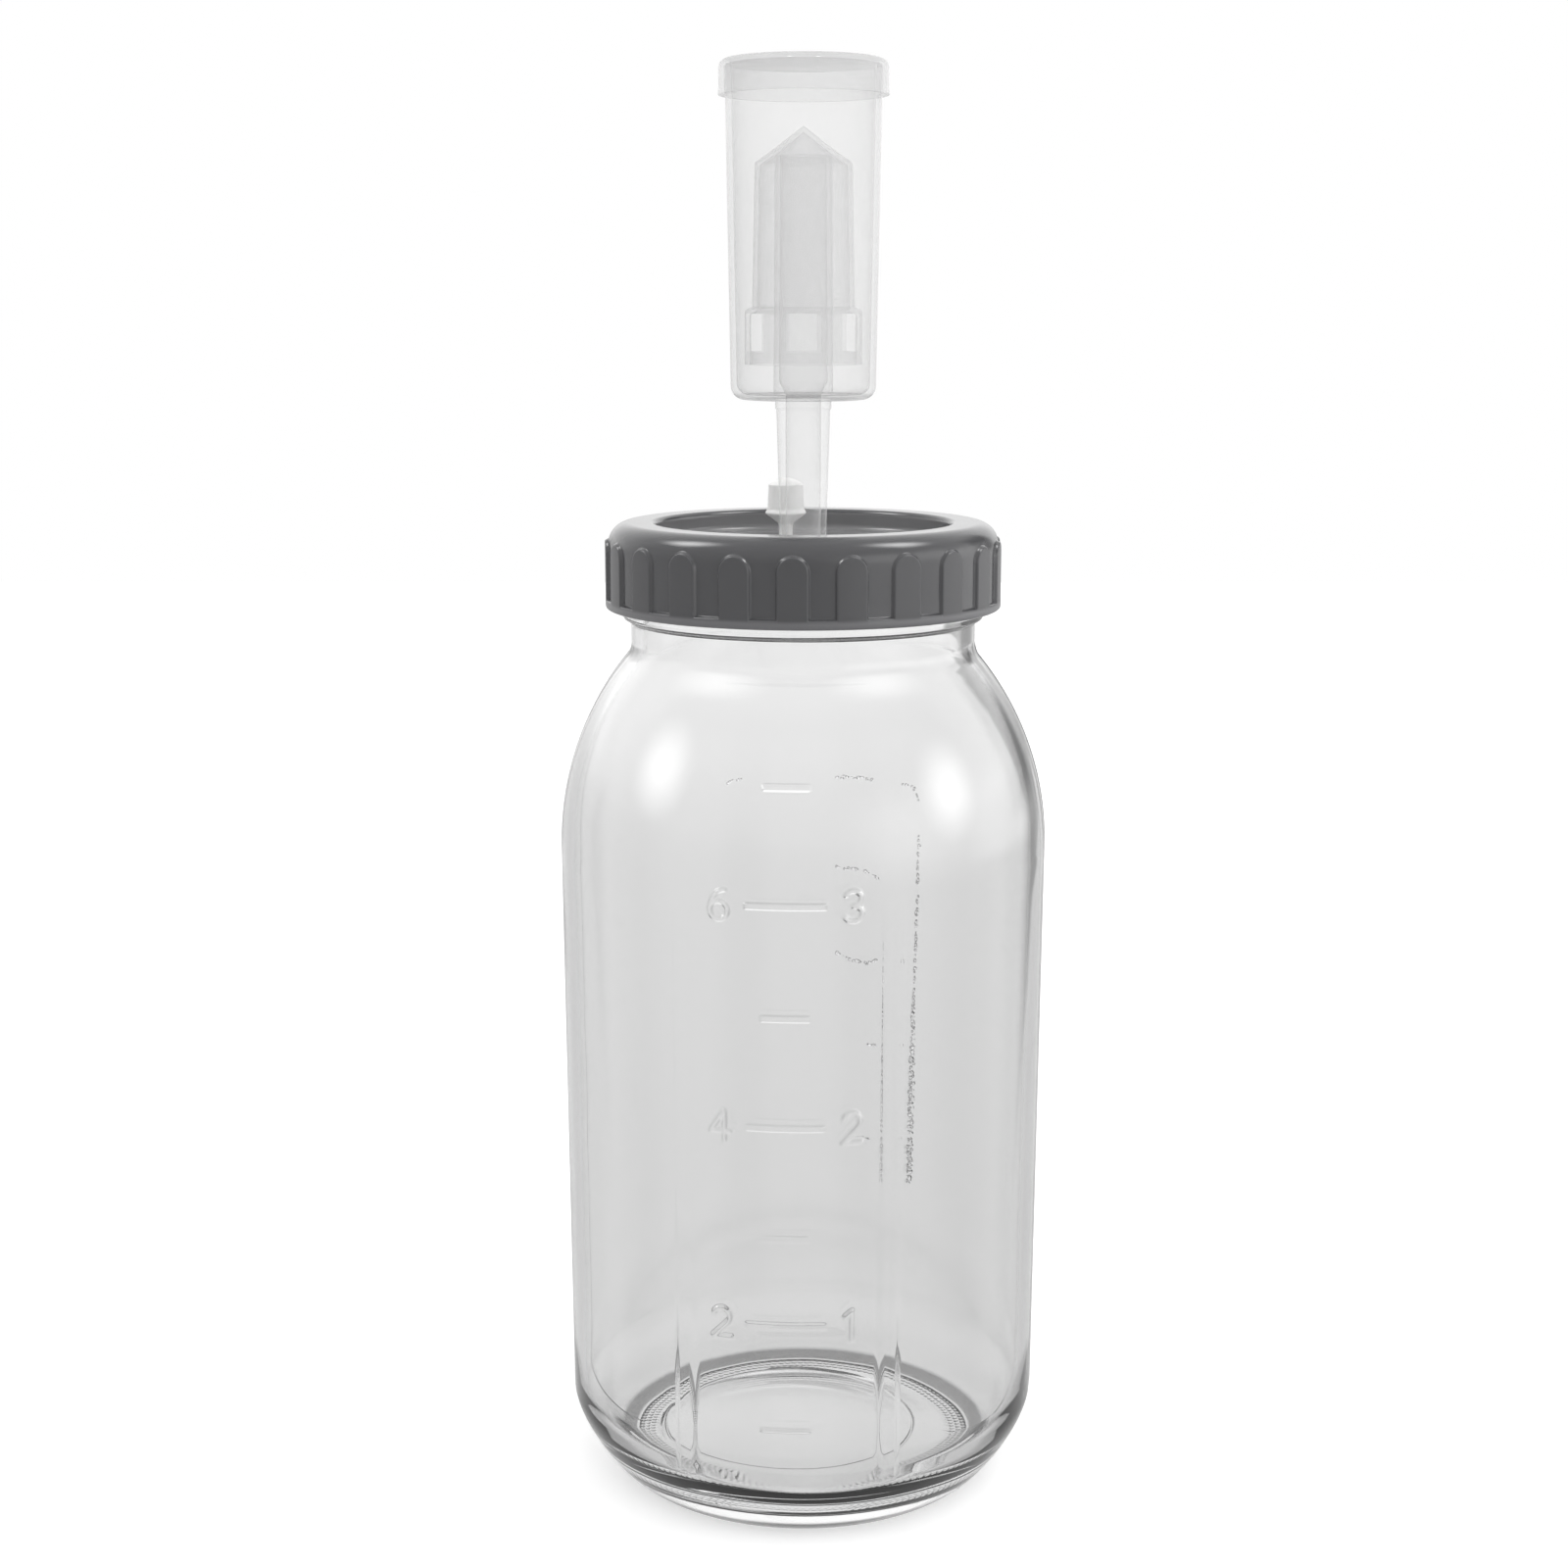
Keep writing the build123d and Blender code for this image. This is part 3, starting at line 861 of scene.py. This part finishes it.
def jar_stretches():
    """The jar's outline, from under its middle round the outside and back down to its floor."""
    shoulder_centre = body_radius - shoulder_radius
    across = finish_radius + neck_blend - shoulder_centre
    outer_rise = sqrt((shoulder_radius + neck_blend) ** 2 - across**2)
    shoulder_start = jar_height - neck_height - outer_rise
    blend_angle = degrees(atan2(outer_rise, across))
    blend_centre = (finish_radius + neck_blend, shoulder_start + outer_rise)
    inner_blend = neck_blend + wall
    inner_across = mouth_radius + inner_blend - shoulder_centre
    inner_reach = shoulder_radius - wall + inner_blend
    inner_rise = sqrt(inner_reach**2 - inner_across**2)
    inner_angle = degrees(atan2(inner_rise, inner_across))
    inner_centre = (mouth_radius + inner_blend, shoulder_start + inner_rise)
    bearing_radius = foot_radius - foot_width
    hollow = (bearing_radius**2 + push_up**2) / (2 * push_up)
    hollow_angle = degrees(asin(bearing_radius / hollow))
    ring_shares = [*push_up_shares[0]]
    offsets = [ring_half_width * step / 2 for step in range(-ring_steps, ring_steps + 1)]
    ring_shares += [(ring_radius + offset) / bearing_radius for offset in offsets]
    ring_shares += push_up_shares[1]
    bead_radius = finish_radius + bead_rise
    bead_bottom = jar_height - bead_drop - bead_width / 2
    bead_top = bead_bottom + bead_width
    finish = rounded(
        [
            (finish_radius, blend_centre[1], 0),
            (finish_radius, bead_bottom, bead_round),
            (bead_radius, bead_bottom + bead_flank, bead_round),
            (bead_radius, bead_top - bead_flank, bead_round),
            (finish_radius, bead_top, bead_round),
            (finish_radius, jar_height, lip_round),
            (mouth_radius, jar_height, lip_round),
            (mouth_radius, inner_centre[1], 0),
        ],
        closed=False,
    )
    # The wall over the bead carries the thread, and two rounds and two lines follow it
    thread_at = len(finish) - 5
    finish[thread_at] = (finish[thread_at][0], even_shares(finish_steps))
    inner_body_radius = body_radius - wall
    inner_heel_radius = heel_radius - wall
    floor_drop = inner_crown - floor_edge_height
    floor_curve = (floor_edge_radius**2 + floor_drop**2) / (2 * floor_drop)
    floor_angle = degrees(asin(floor_edge_radius / floor_curve))
    body_rows = body_heights(shoulder_start)
    body_shares = [(z - heel_height) / (shoulder_start - heel_height) for z in body_rows]
    out = (heel_radius - foot_radius) * outer_heel_shares[0]
    outer_heel = [
        (foot_radius, 0),
        (foot_radius + out, 0),
        (heel_radius, heel_height * outer_heel_shares[1]),
        (heel_radius, heel_height),
    ]
    out = (inner_heel_radius - floor_edge_radius) * inner_heel_shares[0]
    down = (inner_heel_height - floor_edge_height) * inner_heel_shares[1]
    inner_heel = [
        (inner_heel_radius, inner_heel_height),
        (inner_heel_radius, inner_heel_height - down),
        (floor_edge_radius + out, floor_edge_height - out * tan(radians(floor_angle))),
        (floor_edge_radius, floor_edge_height),
    ]
    shoulder = (shoulder_centre, shoulder_start)
    side = line((heel_radius, heel_height), (body_radius, shoulder_start))[0]
    inner_side = line((inner_body_radius, shoulder_start), (inner_heel_radius, inner_heel_height))[0]
    return [
        ("push_up", arc((0, push_up - hollow), hollow, 90, 90 - hollow_angle)[0], ring_shares),
        ("bearing", line((bearing_radius, 0), (foot_radius, 0))[0], even_shares(dot_rows)),
        ("outside", *bezier(outer_heel, outer_heel_steps)),
        ("outside", side, body_shares),
        ("outside", *arc(shoulder, shoulder_radius, 0, blend_angle, outer_shoulder_steps)),
        ("outside", *arc(blend_centre, neck_blend, 180 + blend_angle, 180, outer_neck_steps)),
        *[("finish" if index == thread_at else "rim", *stretch) for index, stretch in enumerate(finish)],
        ("inside", *arc(inner_centre, inner_blend, 180, 180 + inner_angle, inner_neck_steps)),
        ("inside", *arc(shoulder, shoulder_radius - wall, inner_angle, 0, inner_shoulder_steps)),
        ("inside", inner_side, even_shares(inner_side_steps)),
        ("floor", *bezier(inner_heel, inner_heel_steps)),
        ("floor", *arc((0, inner_crown - floor_curve), floor_curve, 90 - floor_angle, 90, floor_steps)),
    ]


def jar_columns():
    """Angles of the jar's columns, closer together where upright lines are pressed in the glass."""
    close = [scar_columns]
    for side in (-1, 1):
        offsets = [side * offset for offset in frame_columns]
        close.append((front_angle + side * frame_half_angle, frame_room, offsets))
        close.append((front_angle + side * 90, seam_room, seam_columns))
    angles = [dot_step * step for step in range(round(360 / dot_step))]
    angles = [angle for angle in angles if all(abs(from_angle(angle, at)) > room for at, room, _ in close)]
    angles += [(at + offset) % 360 for at, _, offsets in close for offset in offsets]
    return sorted(angles)


def jar_relief(zone, angle, radius, z, place):
    """How far the glass stands out from its plain outline at a place."""
    if zone == "outside":
        if scar_angles[0] < angle < scar_angles[1]:
            return scar_marks(angle, z)
        marks = front_marks(from_angle(angle, front_angle) * degree_length, z)
        return marks + max(panel_frame(angle, z), seam(angle))
    if zone == "finish":
        return thread(angle, z, *jar_thread)
    if zone == "bearing":
        row = (radius - foot_radius + foot_width) / foot_width * dot_rows
        column = angle / dot_step + int(row) % 2 / 2
        return -dot_depth * (1 - (sin(pi * row) * sin(pi * column)) ** 2)
    if zone == "push_up":
        return -ring_depth * (1 - smooth(abs(radius - ring_radius) / ring_half_width))
    if zone == "inside":
        return side_ripple * noise.noise(Vector(place) / ripple_size)
    if zone == "floor":
        return floor_ripple * noise.noise(Vector(place) / ripple_size)
    return 0.0


def jar_mesh():
    """The jar as a grid round its whole outline, with finer cells where marks are pressed in."""
    columns = jar_columns()
    rows = []
    for zone, point, shares in jar_stretches():
        rows += [(zone, point, start, end) for start, end in zip(shares, [*shares[1:], 1])]
    marks = [
        (FINE, front_angle, 0, height, tick_half_lengths[index % 2], tick_half_thicknesses[index])
        for index, height in enumerate(tick_heights)
    ]
    for _, across, height in numeral_places:
        marks.append((FINE // 2, front_angle, across, height, *numeral_half_size))
    for points in scars:
        for (start, high), (end, low) in zip(points, points[1:]):
            middle, half = (start + end) / 2 * degree_length, abs(start - end) / 2 * degree_length
            half_height = abs(high - low) / 2
            marks.append((FINE, 0, middle, (high + low) / 2, half + scar_margin, half_height + scar_margin))
    vertices, numbers, faces = [], {}, []

    def detail(row, column):
        """How many parts a cell is cut into each way."""
        zone, point, start, end = rows[row]
        if zone == "bearing":
            return FINE // 4
        if zone != "outside":
            return 1
        low, high = sorted((point(start)[1], point(end)[1]))
        width = (columns[(column + 1) % len(columns)] - columns[column]) % 360
        level = 1
        for cuts, centre, x, z, half_x, half_z in marks:
            left = from_angle(columns[column], centre) * degree_length
            right = left + width * degree_length
            reach_x, reach_z = half_x + mark_margin, half_z + mark_margin
            if left < x + reach_x and right > x - reach_x and low < z + reach_z and high > z - reach_z:
                level = max(level, cuts)
        return level

    def number(row_step, column_step):
        """Index of the vertex at a place on the finest grid."""
        row, part = divmod(row_step, FINE)
        if row == len(rows):
            row, part = row - 1, FINE
        zone, point, start, end = rows[row]
        t = start + (end - start) * part / FINE
        radius, z = point(t)
        column, piece = divmod(column_step, FINE)
        column %= len(columns)
        key = (row_step, 0 if radius < ON_AXIS else column * FINE + piece)
        if key in numbers:
            return numbers[key]
        width = (columns[(column + 1) % len(columns)] - columns[column]) % 360
        angle = columns[column] + width * piece / FINE
        before, after = point(max(t - NEAR_BY, 0)), point(min(t + NEAR_BY, 1))
        along = Vector((after[0] - before[0], after[1] - before[1])).normalized()
        sine, cosine = sin(radians(angle)), cos(radians(angle))
        rise = jar_relief(zone, angle, radius, z, (radius * cosine, radius * sine, z))
        radius, z = radius + along.y * rise, z - along.x * rise
        shift = 0.0
        if zone == "push_up":
            shift = 1 - smooth((radius - ring_radius) / (foot_radius - foot_width - ring_radius))
        vertices.append((radius * cosine + ring_offset[0] * shift, radius * sine + ring_offset[1] * shift, z))
        numbers[key] = len(vertices) - 1
        return numbers[key]

    levels = [[detail(row, column) for column in range(len(columns))] for row in range(len(rows))]

    def level(row, column):
        return levels[row][column % len(columns)] if 0 <= row < len(rows) else 1

    for row in range(len(rows)):
        for column in range(len(columns)):
            cuts = level(row, column)
            step = FINE // cuts
            last = FINE - step
            beside = ((-1, 0), (0, 1), (1, 0), (0, -1))
            sides = [FINE // max(cuts, level(row + down, column + across)) for down, across in beside]
            for down in range(0, FINE, step):
                for across in range(0, FINE, step):
                    top, left = row * FINE + down, column * FINE + across
                    ends = (down == 0, across == last, down == last, across == 0)
                    parts = [side if end else step for side, end in zip(sides, ends)]
                    around = [number(top, left + part) for part in range(0, step, parts[0])]
                    around += [number(top + part, left + step) for part in range(0, step, parts[1])]
                    around += [number(top + step, left + step - part) for part in range(0, step, parts[2])]
                    around += [number(top + step - part, left) for part in range(0, step, parts[3])]
                    faces.append(list(dict.fromkeys(around)))
    return vertices, faces


# Lid
edge_table = ((-0.36, 1.0), (-0.22, 0.96), (-0.08, 0.84), (0.06, 0.6), (0.18, 0.34), (0.3, 0.12), (0.44, 0.0))
tile_line_z = 232.6
lid_thread_steps = 56
rib_spines = (0, 1.3, 2.5, 3.1)
rib_margin = 0.6
rib_beyond = (0.5, 1.0)
low_row = 1.3
band_margin = 0.4
rib_rows = (219.3, 221.4, 223.6, 225.8)
corner_steps = 4
arch_steps = 8
round_steps = 9
edge_steps = 5
SAME_PLACE = 4
lid_thread = (218.9 - thread_pitch / 2, -150.0, 1.9, 1.0, -1.7)


def edge_share(distance):
    """Share of a rib's rise at a distance outside its edge."""
    if distance <= edge_table[0][0]:
        return 1.0
    for (near, high), (far, low) in zip(edge_table, edge_table[1:]):
        if distance <= far:
            return high + (low - high) * (distance - near) / (far - near)
    return 0.0


def lid_mesh():
    """The lid: a ribbed skirt made of like tiles, then the ring, the well and the inside of the skirt."""
    numbers, vertices, faces = {}, [], []

    def number(angle, radius, z):
        place = (radius * cos(radians(angle)), radius * sin(radians(angle)), z)
        key = tuple(round(value, SAME_PLACE) for value in place)
        if key not in numbers:
            numbers[key] = len(vertices)
            vertices.append(place)
        return numbers[key]

    fillet_radius, fillet_height = skirt_radius - shoulder_round, lid_top - shoulder_round
    arch_height = rib_top - rib_half_width
    tile = 360 / rib_count
    tile_half = radians(tile / 2) * rib_radius

    def skirt_number(middle, x, z, distance):
        """Vertex on the skirt at x to the side of a rib's middle."""
        base = skirt_radius
        if z > fillet_height:
            base = fillet_radius + sqrt(shoulder_round**2 - (z - fillet_height) ** 2)
        radius = base + (rib_radius - base) * edge_share(distance)
        return number(middle + degrees(x / rib_radius), radius, z)

    spines = [*rib_spines, *[rib_half_width + distance for distance, _ in edge_table]]
    spines.append(rib_half_width + rib_margin)
    low_rows = [lid_bottom + skirt_round, lid_bottom + low_row]
    low_rows += [band_top + distance for distance, _ in edge_table] + [band_top + band_margin]
    low_rows += [*rib_rows, arch_height]
    corner = degrees(atan2(tile_line_z - arch_height, tile_half))
    side_turns = [corner * step / corner_steps for step in range(1, corner_steps + 1)]
    top_turns = [corner + (90 - corner) * step / arch_steps for step in range(1, arch_steps + 1)]

    def station(foot, turn):
        """One row of a half tile: places by x, z and distance outside the rib's edge."""
        sine, cosine = sin(radians(turn)), cos(radians(turn))
        reach = tile_half / cosine if turn <= corner + ON_AXIS else (tile_line_z - arch_height) / sine
        beyond = [spines[-1] + (reach - spines[-1]) * share for share in rib_beyond]
        places = [(away, foot + away * sine) for away in spines + beyond]
        return [(away * cosine, z, min(away - rib_half_width, z - band_top)) for away, z in places]

    stations = [station(z, 0) for z in low_rows]
    stations += [station(arch_height, turn) for turn in side_turns + top_turns]
    middles = [first_rib_angle + tile * index for index in range(rib_count)]
    for middle in middles:
        for side in (1, -1):
            for low, high in zip(stations, stations[1:]):
                for index in range(len(low) - 1):
                    around = [low[index], low[index + 1], high[index + 1], high[index]]
                    around = [skirt_number(middle, side * x, z, distance) for x, z, distance in around]
                    around = list(dict.fromkeys(around))
                    if len(around) > 2:
                        faces.append(around[::side])

    # Places across half a tile on the top line, and on the lowest row
    top_half = [row[-1][0] for row in stations[-arch_steps - 1 :]][::-1]
    low_half = [x for x, _, _ in stations[0]]

    def ring_angles(half):
        angles = []
        for middle in middles:
            across = [-x for x in half[::-1]] + half[1:-1]
            angles += [middle + degrees(x / rib_radius) for x in across]
        return angles

    def add_rings(rows, angles, relief=None):
        """Rings of faces between rows of radius and height, at the same angles."""
        for low, high in zip(rows, rows[1:]):
            for index, angle in enumerate(angles):
                following = angles[(index + 1) % len(angles)]
                around = []
                for (radius, z), at in ((low, angle), (low, following), (high, following), (high, angle)):
                    rise = relief(at, z) if relief and abs(radius - skirt_bore) < ON_AXIS else 0
                    around.append(number(at, radius + rise, z))
                faces.append(around)

    start = degrees(asin((tile_line_z - fillet_height) / shoulder_round))
    inside = rounded(
        [
            (fillet_radius, lid_top, 0),
            (well_radius, lid_top, well_lip_round),
            (well_radius, well_floor, well_floor_round),
            (grommet_hole, well_floor, 0),
            (grommet_hole, well_underside, 0),
            (well_outer_radius, well_underside, well_floor_round),
            (well_outer_radius, lid_underside, 0),
            (skirt_bore, lid_underside, 0),
            (skirt_bore, lid_bottom, 0),
        ],
        closed=False,
    )
    inside[-1] = (inside[-1][0], even_shares(lid_thread_steps))
    upper = [arc((fillet_radius, fillet_height), shoulder_round, start, 90, round_steps)] + inside
    upper_rows = outline_points(upper, closed=False)
    upper_angles = ring_angles(top_half)
    add_rings(upper_rows, upper_angles, lambda angle, z: thread(angle, z, *lid_thread))
    edge_centre = (rib_radius - skirt_round, lid_bottom + skirt_round)
    lower_rows = outline_points([arc(edge_centre, skirt_round, -90, 0, edge_steps)], closed=False)
    lower_angles = ring_angles(low_half)
    add_rings(lower_rows, lower_angles)
    # The flat lower edge joins the coarse rings inside to the fine ones outside
    for index in range(rib_count):
        sides = []
        for angles, radius in ((upper_angles, skirt_bore), (lower_angles, edge_centre[0])):
            count = len(angles) // rib_count
            places = [(index * count + step) % len(angles) for step in range(count + 1)]
            sides.append([number(angles[place], radius, lid_bottom) for place in places])
        faces.append([*sides[1], *sides[0][::-1]])
    return vertices, faces


# Airlock and its seals
hair_round = 0.1
fine_round = 0.2
thin_round = 0.25
small_round = 0.3
soft_round = 0.4
wide_round = 0.5
deep_round = 0.6
stem_seat_radius = 5.4
stem_tip_radius = 5.0
stem_top_radius = 6.33
stem_bore_radius = 4.15
collar_radius = 6.6
collar_height = 2.2
cup_height = 75.9
cup_base_radius = 17.0
cup_wall = 1.4
cup_floor = 1.15
cup_round = 3.2
cup_inner_round = 2.6
rim_round = 0.4
tube_height = 54.5
tube_base_radius = 7.0
tube_rim_radius = 6.66
tube_wall = 1.3
bore_step = 3.0
cup_rim = body_high[2]
cup_rim_radius = body_high[0]
stem_tip = body_low[2]
cup_bottom = cup_rim - cup_height
cup_inner_floor = cup_bottom + cup_floor
tube_rim = cup_inner_floor + tube_height

grommet_bore = 5.487
grommet_wall = 1.75
grommet_clearance = 0.05
grommet_waist = grommet_bore + grommet_wall
grommet_hole = grommet_waist + grommet_clearance
grommet_round = 0.3
gasket_clearance = 0.3

cone_angle = 36.8
cone_radius = 7.9
shoulder_angle = 33.7
float_shoulder_radius = 11.4
float_waist_radius = 12.0
float_wall = 1.1
float_side_round = 1.0
float_skirt_height = 12.6
float_skirt_wall = 1.2
float_skirt_round = 1.2
float_flare = 0.7
window_count = 6
window_width = 7.5
window_height = 8.7
window_sill = 3.0
window_angle = 1.5
window_inner_reach = 2.0

cap_clearance = 0.15
cap_wall = 1.3
cap_lip_height = 0.9
cap_round = 2.0
vent_hole_count = 6
vent_hole_radius = 0.6
vent_circle_radius = 6.5

plug_pin_radius = 1.5
plug_neck_radius = 1.68
plug_neck_height = 2.9
plug_bowl_height = 2.6
plug_flange_thickness = 1.0
plug_head_radius = 4.45
plug_head_taper = 0.25
plug_dome_height = 1.7
plug_edge_round = 0.4
plug_bowl_round = 0.9
plug_tip_radius = 0.9
plug_tip_length = 1.6
plug_hole = 1.56
overrun = 1.0
plug_centre = ((plug_low[0] + plug_high[0]) / 2, (plug_low[1] + plug_high[1]) / 2)


def turned_piece(name, rows, material, columns=COLUMNS, closed=True):
    """A piece turned from rows of radius, height and corner round."""
    points = outline_points(rounded(rows, closed), closed)
    return make_piece(name, *turned(points, columns, closed=closed), material)


def airlock_body_piece(material):
    """Cup, inner tube and stem in one moulding."""
    rows = [
        (stem_bore_radius, stem_tip, small_round),
        (stem_tip_radius, stem_tip, small_round),
        (stem_seat_radius, well_floor, 0),
        (stem_top_radius, cup_bottom - collar_height, fine_round),
        (collar_radius, cup_bottom - collar_height, hair_round),
        (collar_radius, cup_bottom, soft_round),
        (cup_base_radius, cup_bottom, cup_round),
        (cup_rim_radius, cup_rim, rim_round),
        (cup_rim_radius - cup_wall, cup_rim, rim_round),
        (cup_base_radius - cup_wall, cup_inner_floor, cup_inner_round),
        (tube_base_radius, cup_inner_floor, wide_round),
        (tube_rim_radius, tube_rim, soft_round),
        (tube_rim_radius - tube_wall, tube_rim, soft_round),
        (tube_base_radius - tube_wall, cup_inner_floor + bore_step, deep_round),
        (stem_bore_radius, cup_inner_floor, deep_round),
    ]
    return turned_piece("airlock_body_moulding", rows, material, CUP_COLUMNS)


def airlock_float_piece(material):
    """The float, an inverted cup with windows in its skirt."""
    apex, bottom, skirt_radius_out = float_high[2], float_low[2], float_high[0]
    cone_fall, shoulder_fall = tan(radians(cone_angle)), tan(radians(shoulder_angle))
    inner_apex = apex - float_wall / cos(radians(cone_angle))
    cone_foot = apex - cone_radius * cone_fall
    shoulder = cone_foot - (float_shoulder_radius - cone_radius) * shoulder_fall
    skirt_top = bottom + float_skirt_height
    inner_cone_radius = cone_radius - float_wall * cone_fall / 2
    inner_cone_foot = inner_apex - inner_cone_radius * cone_fall
    inner_shoulder_radius = float_shoulder_radius - float_wall
    inner_shoulder_foot = inner_cone_foot - (inner_shoulder_radius - inner_cone_radius) * shoulder_fall
    skirt_inner = skirt_radius_out - float_skirt_wall
    rows = [
        (0, inner_apex, 0),
        (inner_cone_radius, inner_cone_foot, soft_round),
        (inner_shoulder_radius, inner_shoulder_foot, deep_round),
        (float_waist_radius - float_wall, skirt_top, small_round),
        (skirt_inner, skirt_top - float_skirt_wall, soft_round),
        (skirt_inner, bottom, thin_round),
        (skirt_radius_out, bottom, thin_round),
        (skirt_radius_out, skirt_top, float_skirt_round),
        (float_waist_radius, skirt_top + float_flare, soft_round),
        (float_shoulder_radius, shoulder, float_side_round),
        (cone_radius, cone_foot, soft_round),
        (0, apex, 0),
    ]
    piece = turned_piece("airlock_float_moulding", rows, material, FLOAT_COLUMNS, closed=False)
    vertices, faces = [], []
    for index in range(window_count):
        angle = radians(window_angle - 90 + 360 / window_count * index)
        for reach in (skirt_inner - window_inner_reach, skirt_radius_out + overrun):
            for x, z in ((-1, 0), (1, 0), (1, 1), (-1, 1)):
                across = x * window_width / 2
                vertices.append(
                    (
                        reach * cos(angle) - across * sin(angle),
                        reach * sin(angle) + across * cos(angle),
                        bottom + window_sill + z * window_height,
                    )
                )
        first = index * 8
        faces.append([first + 3, first + 2, first + 1, first])
        faces.append([first + 4, first + 5, first + 6, first + 7])
        for step in range(4):
            following = (step + 1) % 4
            faces.append([first + step, first + following, first + 4 + following, first + 4 + step])
    return drilled(piece, vertices, faces)


def airlock_cap_piece(material):
    """The cap over the cup's rim, with six pin holes."""
    bore = cup_rim_radius + cap_clearance
    outer = bore + cap_wall
    top, bottom, lip_radius = cap_high[2], cap_low[2], cap_high[0]
    lip = lip_radius - outer
    rows = [
        (0, cup_rim, 0),
        (bore, cup_rim, rim_round),
        (bore, bottom, fine_round),
        (lip_radius, bottom, fine_round),
        (lip_radius, bottom + cap_lip_height, hair_round),
        (outer, bottom + cap_lip_height + lip, hair_round),
        (outer, top, cap_round),
        (0, top, 0),
    ]
    piece = turned_piece("airlock_cap_moulding", rows, material, CUP_COLUMNS, closed=False)
    vertices, faces = [], []
    for index in range(vent_hole_count):
        angle = 2 * pi * index / vent_hole_count
        centre = (vent_circle_radius * cos(angle), vent_circle_radius * sin(angle))
        drill = [(0, cup_rim - overrun), (vent_hole_radius, cup_rim - overrun)]
        drill += [(vent_hole_radius, top + overrun), (0, top + overrun)]
        hole_vertices, hole_faces = turned(drill, VENT_COLUMNS, centre, closed=False)
        faces += [[number + len(vertices) for number in face] for face in hole_faces]
        vertices += hole_vertices
    return drilled(piece, vertices, faces)


def grommet_piece(material):
    """The grooved ring between stem and lid."""
    top, bottom, flange = grommet_high[2], grommet_low[2], grommet_high[0]
    rows = [
        (grommet_bore, bottom, fine_round),
        (flange, bottom, grommet_round),
        (flange, well_underside, fine_round),
        (grommet_waist, well_underside, 0),
        (grommet_waist, well_floor, 0),
        (flange, well_floor, fine_round),
        (flange, top, grommet_round),
        (grommet_bore, top, fine_round),
    ]
    return turned_piece("grommet_ring", rows, material)


def gasket_piece(material):
    """The flat seal on the glass lip."""
    inner, outer = well_outer_radius + gasket_clearance, gasket_high[0]
    low, high = gasket_low[2], gasket_high[2]
    places = ((inner, low), (outer, low), (outer, high), (inner, high))
    rows = [(*place, thin_round) for place in places]
    return turned_piece("gasket_ring", rows, material, CUP_COLUMNS)


def plug_piece(material):
    """The soft knob behind the stem, with a flange and a pin."""
    top, tip = plug_high[2], plug_low[2]
    flange_radius = (plug_high[0] - plug_low[0]) / 2
    neck_top = well_floor + plug_neck_height
    flange_height = neck_top + plug_bowl_height
    dome_foot = top - plug_dome_height
    head = plug_head_radius - plug_head_taper
    dome = (head**2 + plug_dome_height**2) / (2 * plug_dome_height)
    dome_angle = degrees(asin(head / dome))
    rows = [
        (0, tip, 0),
        (plug_tip_radius, tip, small_round),
        (plug_pin_radius, tip + plug_tip_length, small_round),
        (plug_pin_radius, well_floor, 0),
        (plug_neck_radius, well_floor, 0),
        (plug_neck_radius, neck_top, plug_bowl_round),
        (flange_radius, flange_height, plug_edge_round),
        (plug_head_radius, flange_height + plug_flange_thickness, plug_bowl_round),
        (head, dome_foot, 0),
    ]
    stretches = rounded(rows, closed=False) + [arc((0, top - dome), dome, 90 - dome_angle, 90, 6)]
    points = outline_points(stretches, closed=False)
    return make_piece("vent_plug_knob", *turned(points, PLUG_COLUMNS, plug_centre, closed=False), material)


# Soft lights: name, direction, half width, strength, and the lowest and highest place that each lights
cards = (
    ("left_light", (-0.89, -0.22, 0.40), 375, 5.6, 0, neck_foot),
    ("right_light", (0.92, -0.26, 0.30), 375, 5.6, 0, neck_foot),
    ("left_neck_light", (-0.57, -0.14, 0.81), 560, 3.2, neck_foot, lid_foot),
    ("right_neck_light", (0.48, -0.16, 0.86), 560, 3.2, neck_foot, lid_foot),
    ("left_top_light", (-0.617, 0.06, 0.786), 330, 11, lid_foot, light_top),
    ("right_top_light", (0.544, -0.05, 0.835), 330, 11, lid_foot, light_top),
)

white_room()
pale_floor()
for card in cards:
    soft_card(*card)

glass = clear_glass()
lid_plastic = grey_lid_plastic()
airlock_plastic = clear_airlock_plastic()
silicone = white_silicone()

stand_for(make_piece("jar_glass", *jar_mesh(), glass, GLASS_CREASE), "jar")
lid_piece = make_piece("lid_moulding", *lid_mesh(), lid_plastic)
hole = [(0, well_underside - overrun), (plug_hole, well_underside - overrun)]
hole += [(plug_hole, well_floor + overrun), (0, well_floor + overrun)]
stand_for(drilled(lid_piece, *turned(hole, HOLE_COLUMNS, plug_centre, closed=False)), "lid")
stand_for(airlock_body_piece(airlock_plastic), "airlock_body")
stand_for(airlock_float_piece(airlock_plastic), "airlock_float")
stand_for(airlock_cap_piece(airlock_plastic), "airlock_cap")
stand_for(grommet_piece(silicone), "airlock_grommet")
stand_for(gasket_piece(silicone), "lid_gasket")
stand_for(plug_piece(silicone), "vent_plug")
